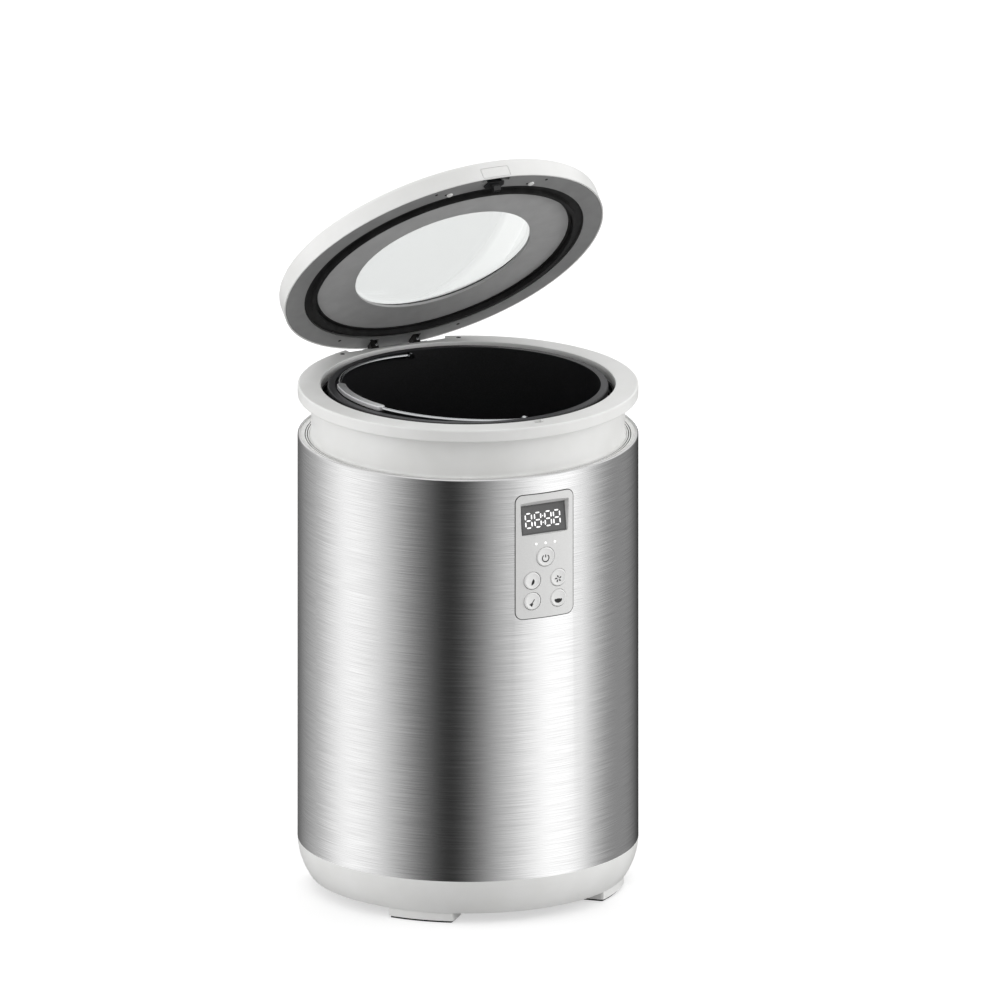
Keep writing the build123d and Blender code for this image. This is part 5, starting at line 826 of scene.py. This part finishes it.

# ------------------------------------------------------------ hinge studs, flange plugs and neck groove shades
# Two studs fix the hinge arms; two plugs close the screw holes in the mouth's flange; two thin black
# rings in the shoulder ring's grooves are painted shade. The studs are chrome plated steel, the rest is
# silicone rubber, pressed in.

stud_places, stud_front, stud_drop = (-15.4, 18.6), 113.4, -1.6
stud_radius, stud_height, stud_set_in = 1.15, 0.2, 0.6
for count, x in enumerate(stud_places):
    rows = [(0.0, -stud_set_in, 0.0), (stud_radius, -stud_set_in, 0.0)]
    rows += [(stud_radius * np.cos(a), stud_height * np.sin(a), 0.0) for a in dome_turn[:-1]]
    rows.append((0.0, stud_height, 0.0))
    centre = lid_origin + x * lid_across + stud_front * lid_back + stud_drop * lid_out
    stud = turned(rows, centre, -lid_back, lid_across, 32)
    made_piece(f"hinge_stud_{count}", *stud, chrome_plate, "lid", "chrome_steel", smooth=True)
flange_top, flange_back, flange_plug_places = 379.4, 109.0, (-47.7, 47.7)
wide, narrow, low_side, high_side, below = 1.8, 0.6 * 1.8, 0.04, 0.1, -0.5
for count, x in enumerate(flange_plug_places):
    rows = [(0.0, below, 0.0), (wide, below, 0.0), (wide, low_side, 0.0)]
    rows += [(narrow, high_side, 0.0), (0.0, high_side, 0.0)]
    rubber_dome = turned(rows, (x, flange_back, flange_top), (0, 0, 1), (1, 0, 0), 32)
    made_piece(f"flange_plug_{count}", *rubber_dome, silicone_rubber, "housing", "black_rubber", smooth=True)
# Painted shade: two thin black rings stand for the shade in the shoulder ring's grooves.
groove_shade_top, groove_shade_depth, groove_shade_width, groove_shade_radii = 340.4, 0.4, 0.6, (117.8, 119.4)
for count, groove_shade_radius in enumerate(groove_shade_radii):
    inside, outside = groove_shade_radius - groove_shade_width / 2, groove_shade_radius + groove_shade_width / 2
    rows = [(inside, -groove_shade_depth, 0.0), (outside, -groove_shade_depth, 0.0)]
    rows += [(outside, 0.0, 0.0), (inside, 0.0, 0.0)]
    groove_shade = turned(rows, (0, 0, groove_shade_top), (0, 0, 1), (1, 0, 0), 360, closed=True)
    made_piece(f"shoulder_groove_shade_{count}", *groove_shade, silicone_rubber, "housing", "black_rubber")

# ------------------------------------------------------------ floor, light and camera
# A plain white sweep under soft studio light, seen through a long lens from the front and a little left.
# The floor, lamps and surroundings aren't part of the object.

floor_mesh = bpy.data.meshes.new("floor")
floor_half, floor_lift = 24.0, 0.52
floor_corners = [(x, y, 0.0) for x, y in ((-1, -1), (1, -1), (1, 1), (-1, 1))]
floor_mesh.from_pydata((floor_half * np.array(floor_corners)).tolist(), [], [(0, 1, 2, 3)])
floor = bpy.data.objects.new("floor", floor_mesh)
bpy.context.scene.collection.objects.link(floor)
floor.visible_glossy = False
paper = bpy.data.materials.new("Paper_sweep")
paper.use_nodes = True
tree = paper.node_tree
tree.nodes.clear()
sheet = add(tree, "BsdfDiffuse", values={"Color": linear("#c4c4c4")})
ray = add(tree, "LightPath")
straight = add(
    tree,
    "Math",
    {0: ray.outputs["Is Camera Ray"], 1: ray.outputs["Is Transmission Ray"]},
    operation="MAXIMUM",
)
seen = add(tree, "Math", {0: straight, 1: ray.outputs["Is Glossy Ray"]}, operation="MAXIMUM")
lift = add(tree, "Math", {0: seen}, {1: floor_lift}, operation="MULTIPLY")
glow = add(tree, "Emission", {"Strength": lift}, {"Color": linear("#ffffff")})
both = add(tree, "AddShader", {0: sheet.outputs[0], 1: glow.outputs[0]})
add(tree, "OutputMaterial", {"Surface": both.outputs[0]})
floor_mesh.materials.append(paper)

world = bpy.data.worlds.new("studio")
world.use_nodes = True
bpy.context.scene.world = world
tree = world.node_tree
tree.nodes.clear()
wall_strength = 1.3
ceiling_from, ceiling_full, ceiling_level = 0.05, 0.28, 0.85
direction = add(tree, "TexCoord")
to_camera = (-0.454, -0.891, 0.0)
to_right = (0.891, -0.454, 0.0)
towards = add(
    tree, "VectorMath", {0: direction.outputs["Generated"]}, {1: to_camera}, operation="DOT_PRODUCT"
)
sideways = add(
    tree, "VectorMath", {0: direction.outputs["Generated"]}, {1: to_right}, operation="DOT_PRODUCT"
)
bearing = add(tree, "Math", {0: sideways, 1: towards}, operation="ARCTAN2")
share = add(tree, "MapRange", {"Value": bearing}, {"From Min": -np.pi, "From Max": np.pi})
wall = add(tree, "ValToRGB", {"Fac": share})
wall_levels = (
    (-165, 0.08), (-148, 0.2), (-120, 0.43), (-101, 0.8), (-88, 0.93), (-72, 0.8), (-59, 0.585),
    (-47, 0.36), (-36, 0.18), (-24, 0.065), (-13.5, 0.0), (-3, 0.04), (8, 0.16), (19, 0.36), (30, 0.54),
    (41, 0.75), (53, 0.98), (64, 1.08), (79, 0.9), (93, 0.52), (110, 0.2), (132, 0.24), (148, 0.15),
    (165, 0.01),
)
ramp = wall.color_ramp
ramp.interpolation = "B_SPLINE"
while len(ramp.elements) > 1:
    ramp.elements.remove(ramp.elements[-1])
for count, (angle, level) in enumerate(wall_levels):
    stop = ramp.elements[0] if count == 0 else ramp.elements.new((angle + 180) / 360)
    stop.position = (angle + 180) / 360
    stop.color = (level, level, level, 1.0)
ray = add(tree, "LightPath")
open_field = add(
    tree,
    "Math",
    {0: ray.outputs["Is Camera Ray"], 1: ray.outputs["Is Transmission Ray"]},
    operation="MAXIMUM",
)
cards = add(tree, "VectorMath", {0: wall}, {3: wall_strength}, operation="SCALE")
level = add(tree, "SeparateXYZ", {"Vector": direction.outputs["Generated"]})
overhead = add(
    tree, "MapRange", {"Value": level.outputs["Z"]}, {"From Min": ceiling_from, "From Max": ceiling_full}
)
room = add(
    tree,
    "Mix",
    {0: overhead, 6: cards},
    {7: (ceiling_level, ceiling_level, ceiling_level, 1.0)},
    data_type="RGBA",
)
seen = add(tree, "Mix", {0: open_field, 6: room}, {7: linear("#ffffff")}, data_type="RGBA")
light = add(tree, "Background", {"Color": seen}, {"Strength": 1.0})
add(tree, "OutputWorld", {"Surface": light.outputs[0]})

lamps = {
    "left_box": ((-0.927, 0.375, 0.15), 0.42),
    "right_box": ((0.89, -0.45, 0.15), 0.5),
    "back_box": ((0.454, 0.891, 0.15), 0.4),
}
lamp_distance, lamp_size, lamp_aim = 3.0, 2.2, Vector((0.0, 0.0, 0.3))
for name, (side, share) in lamps.items():
    lamp_data = bpy.data.lights.new(name, "AREA")
    lamp_data.size = lamp_size
    lamp_data.energy = share * (np.pi * lamp_distance) ** 2
    lamp = bpy.data.objects.new(name, lamp_data)
    bpy.context.scene.collection.objects.link(lamp)
    towards_lamp = Vector(side).normalized()
    lamp.location = towards_lamp * lamp_distance + lamp_aim
    lamp.rotation_mode = "QUATERNION"
    lamp.rotation_quaternion = towards_lamp.to_track_quat("Z", "Y")
    lamp.visible_camera = False
    lamp.visible_glossy = False
    lamp.visible_transmission = False

view_width, view_distance = 0.7331, 3.0
view_middle = Vector((0.00996, -0.03212, 0.29695))
back = Vector((-0.4358, -0.8554, 0.2806)).normalized()
camera_data = bpy.data.cameras.new("camera")
camera_data.type = "ORTHO"
camera_data.ortho_scale = view_width
camera = bpy.data.objects.new("camera", camera_data)
bpy.context.scene.collection.objects.link(camera)
camera.location = view_middle + back * view_distance
camera.rotation_mode = "QUATERNION"
camera.rotation_quaternion = back.to_track_quat("Z", "Y")
bpy.context.scene.camera = camera
bpy.context.scene.view_settings.view_transform = "Standard"
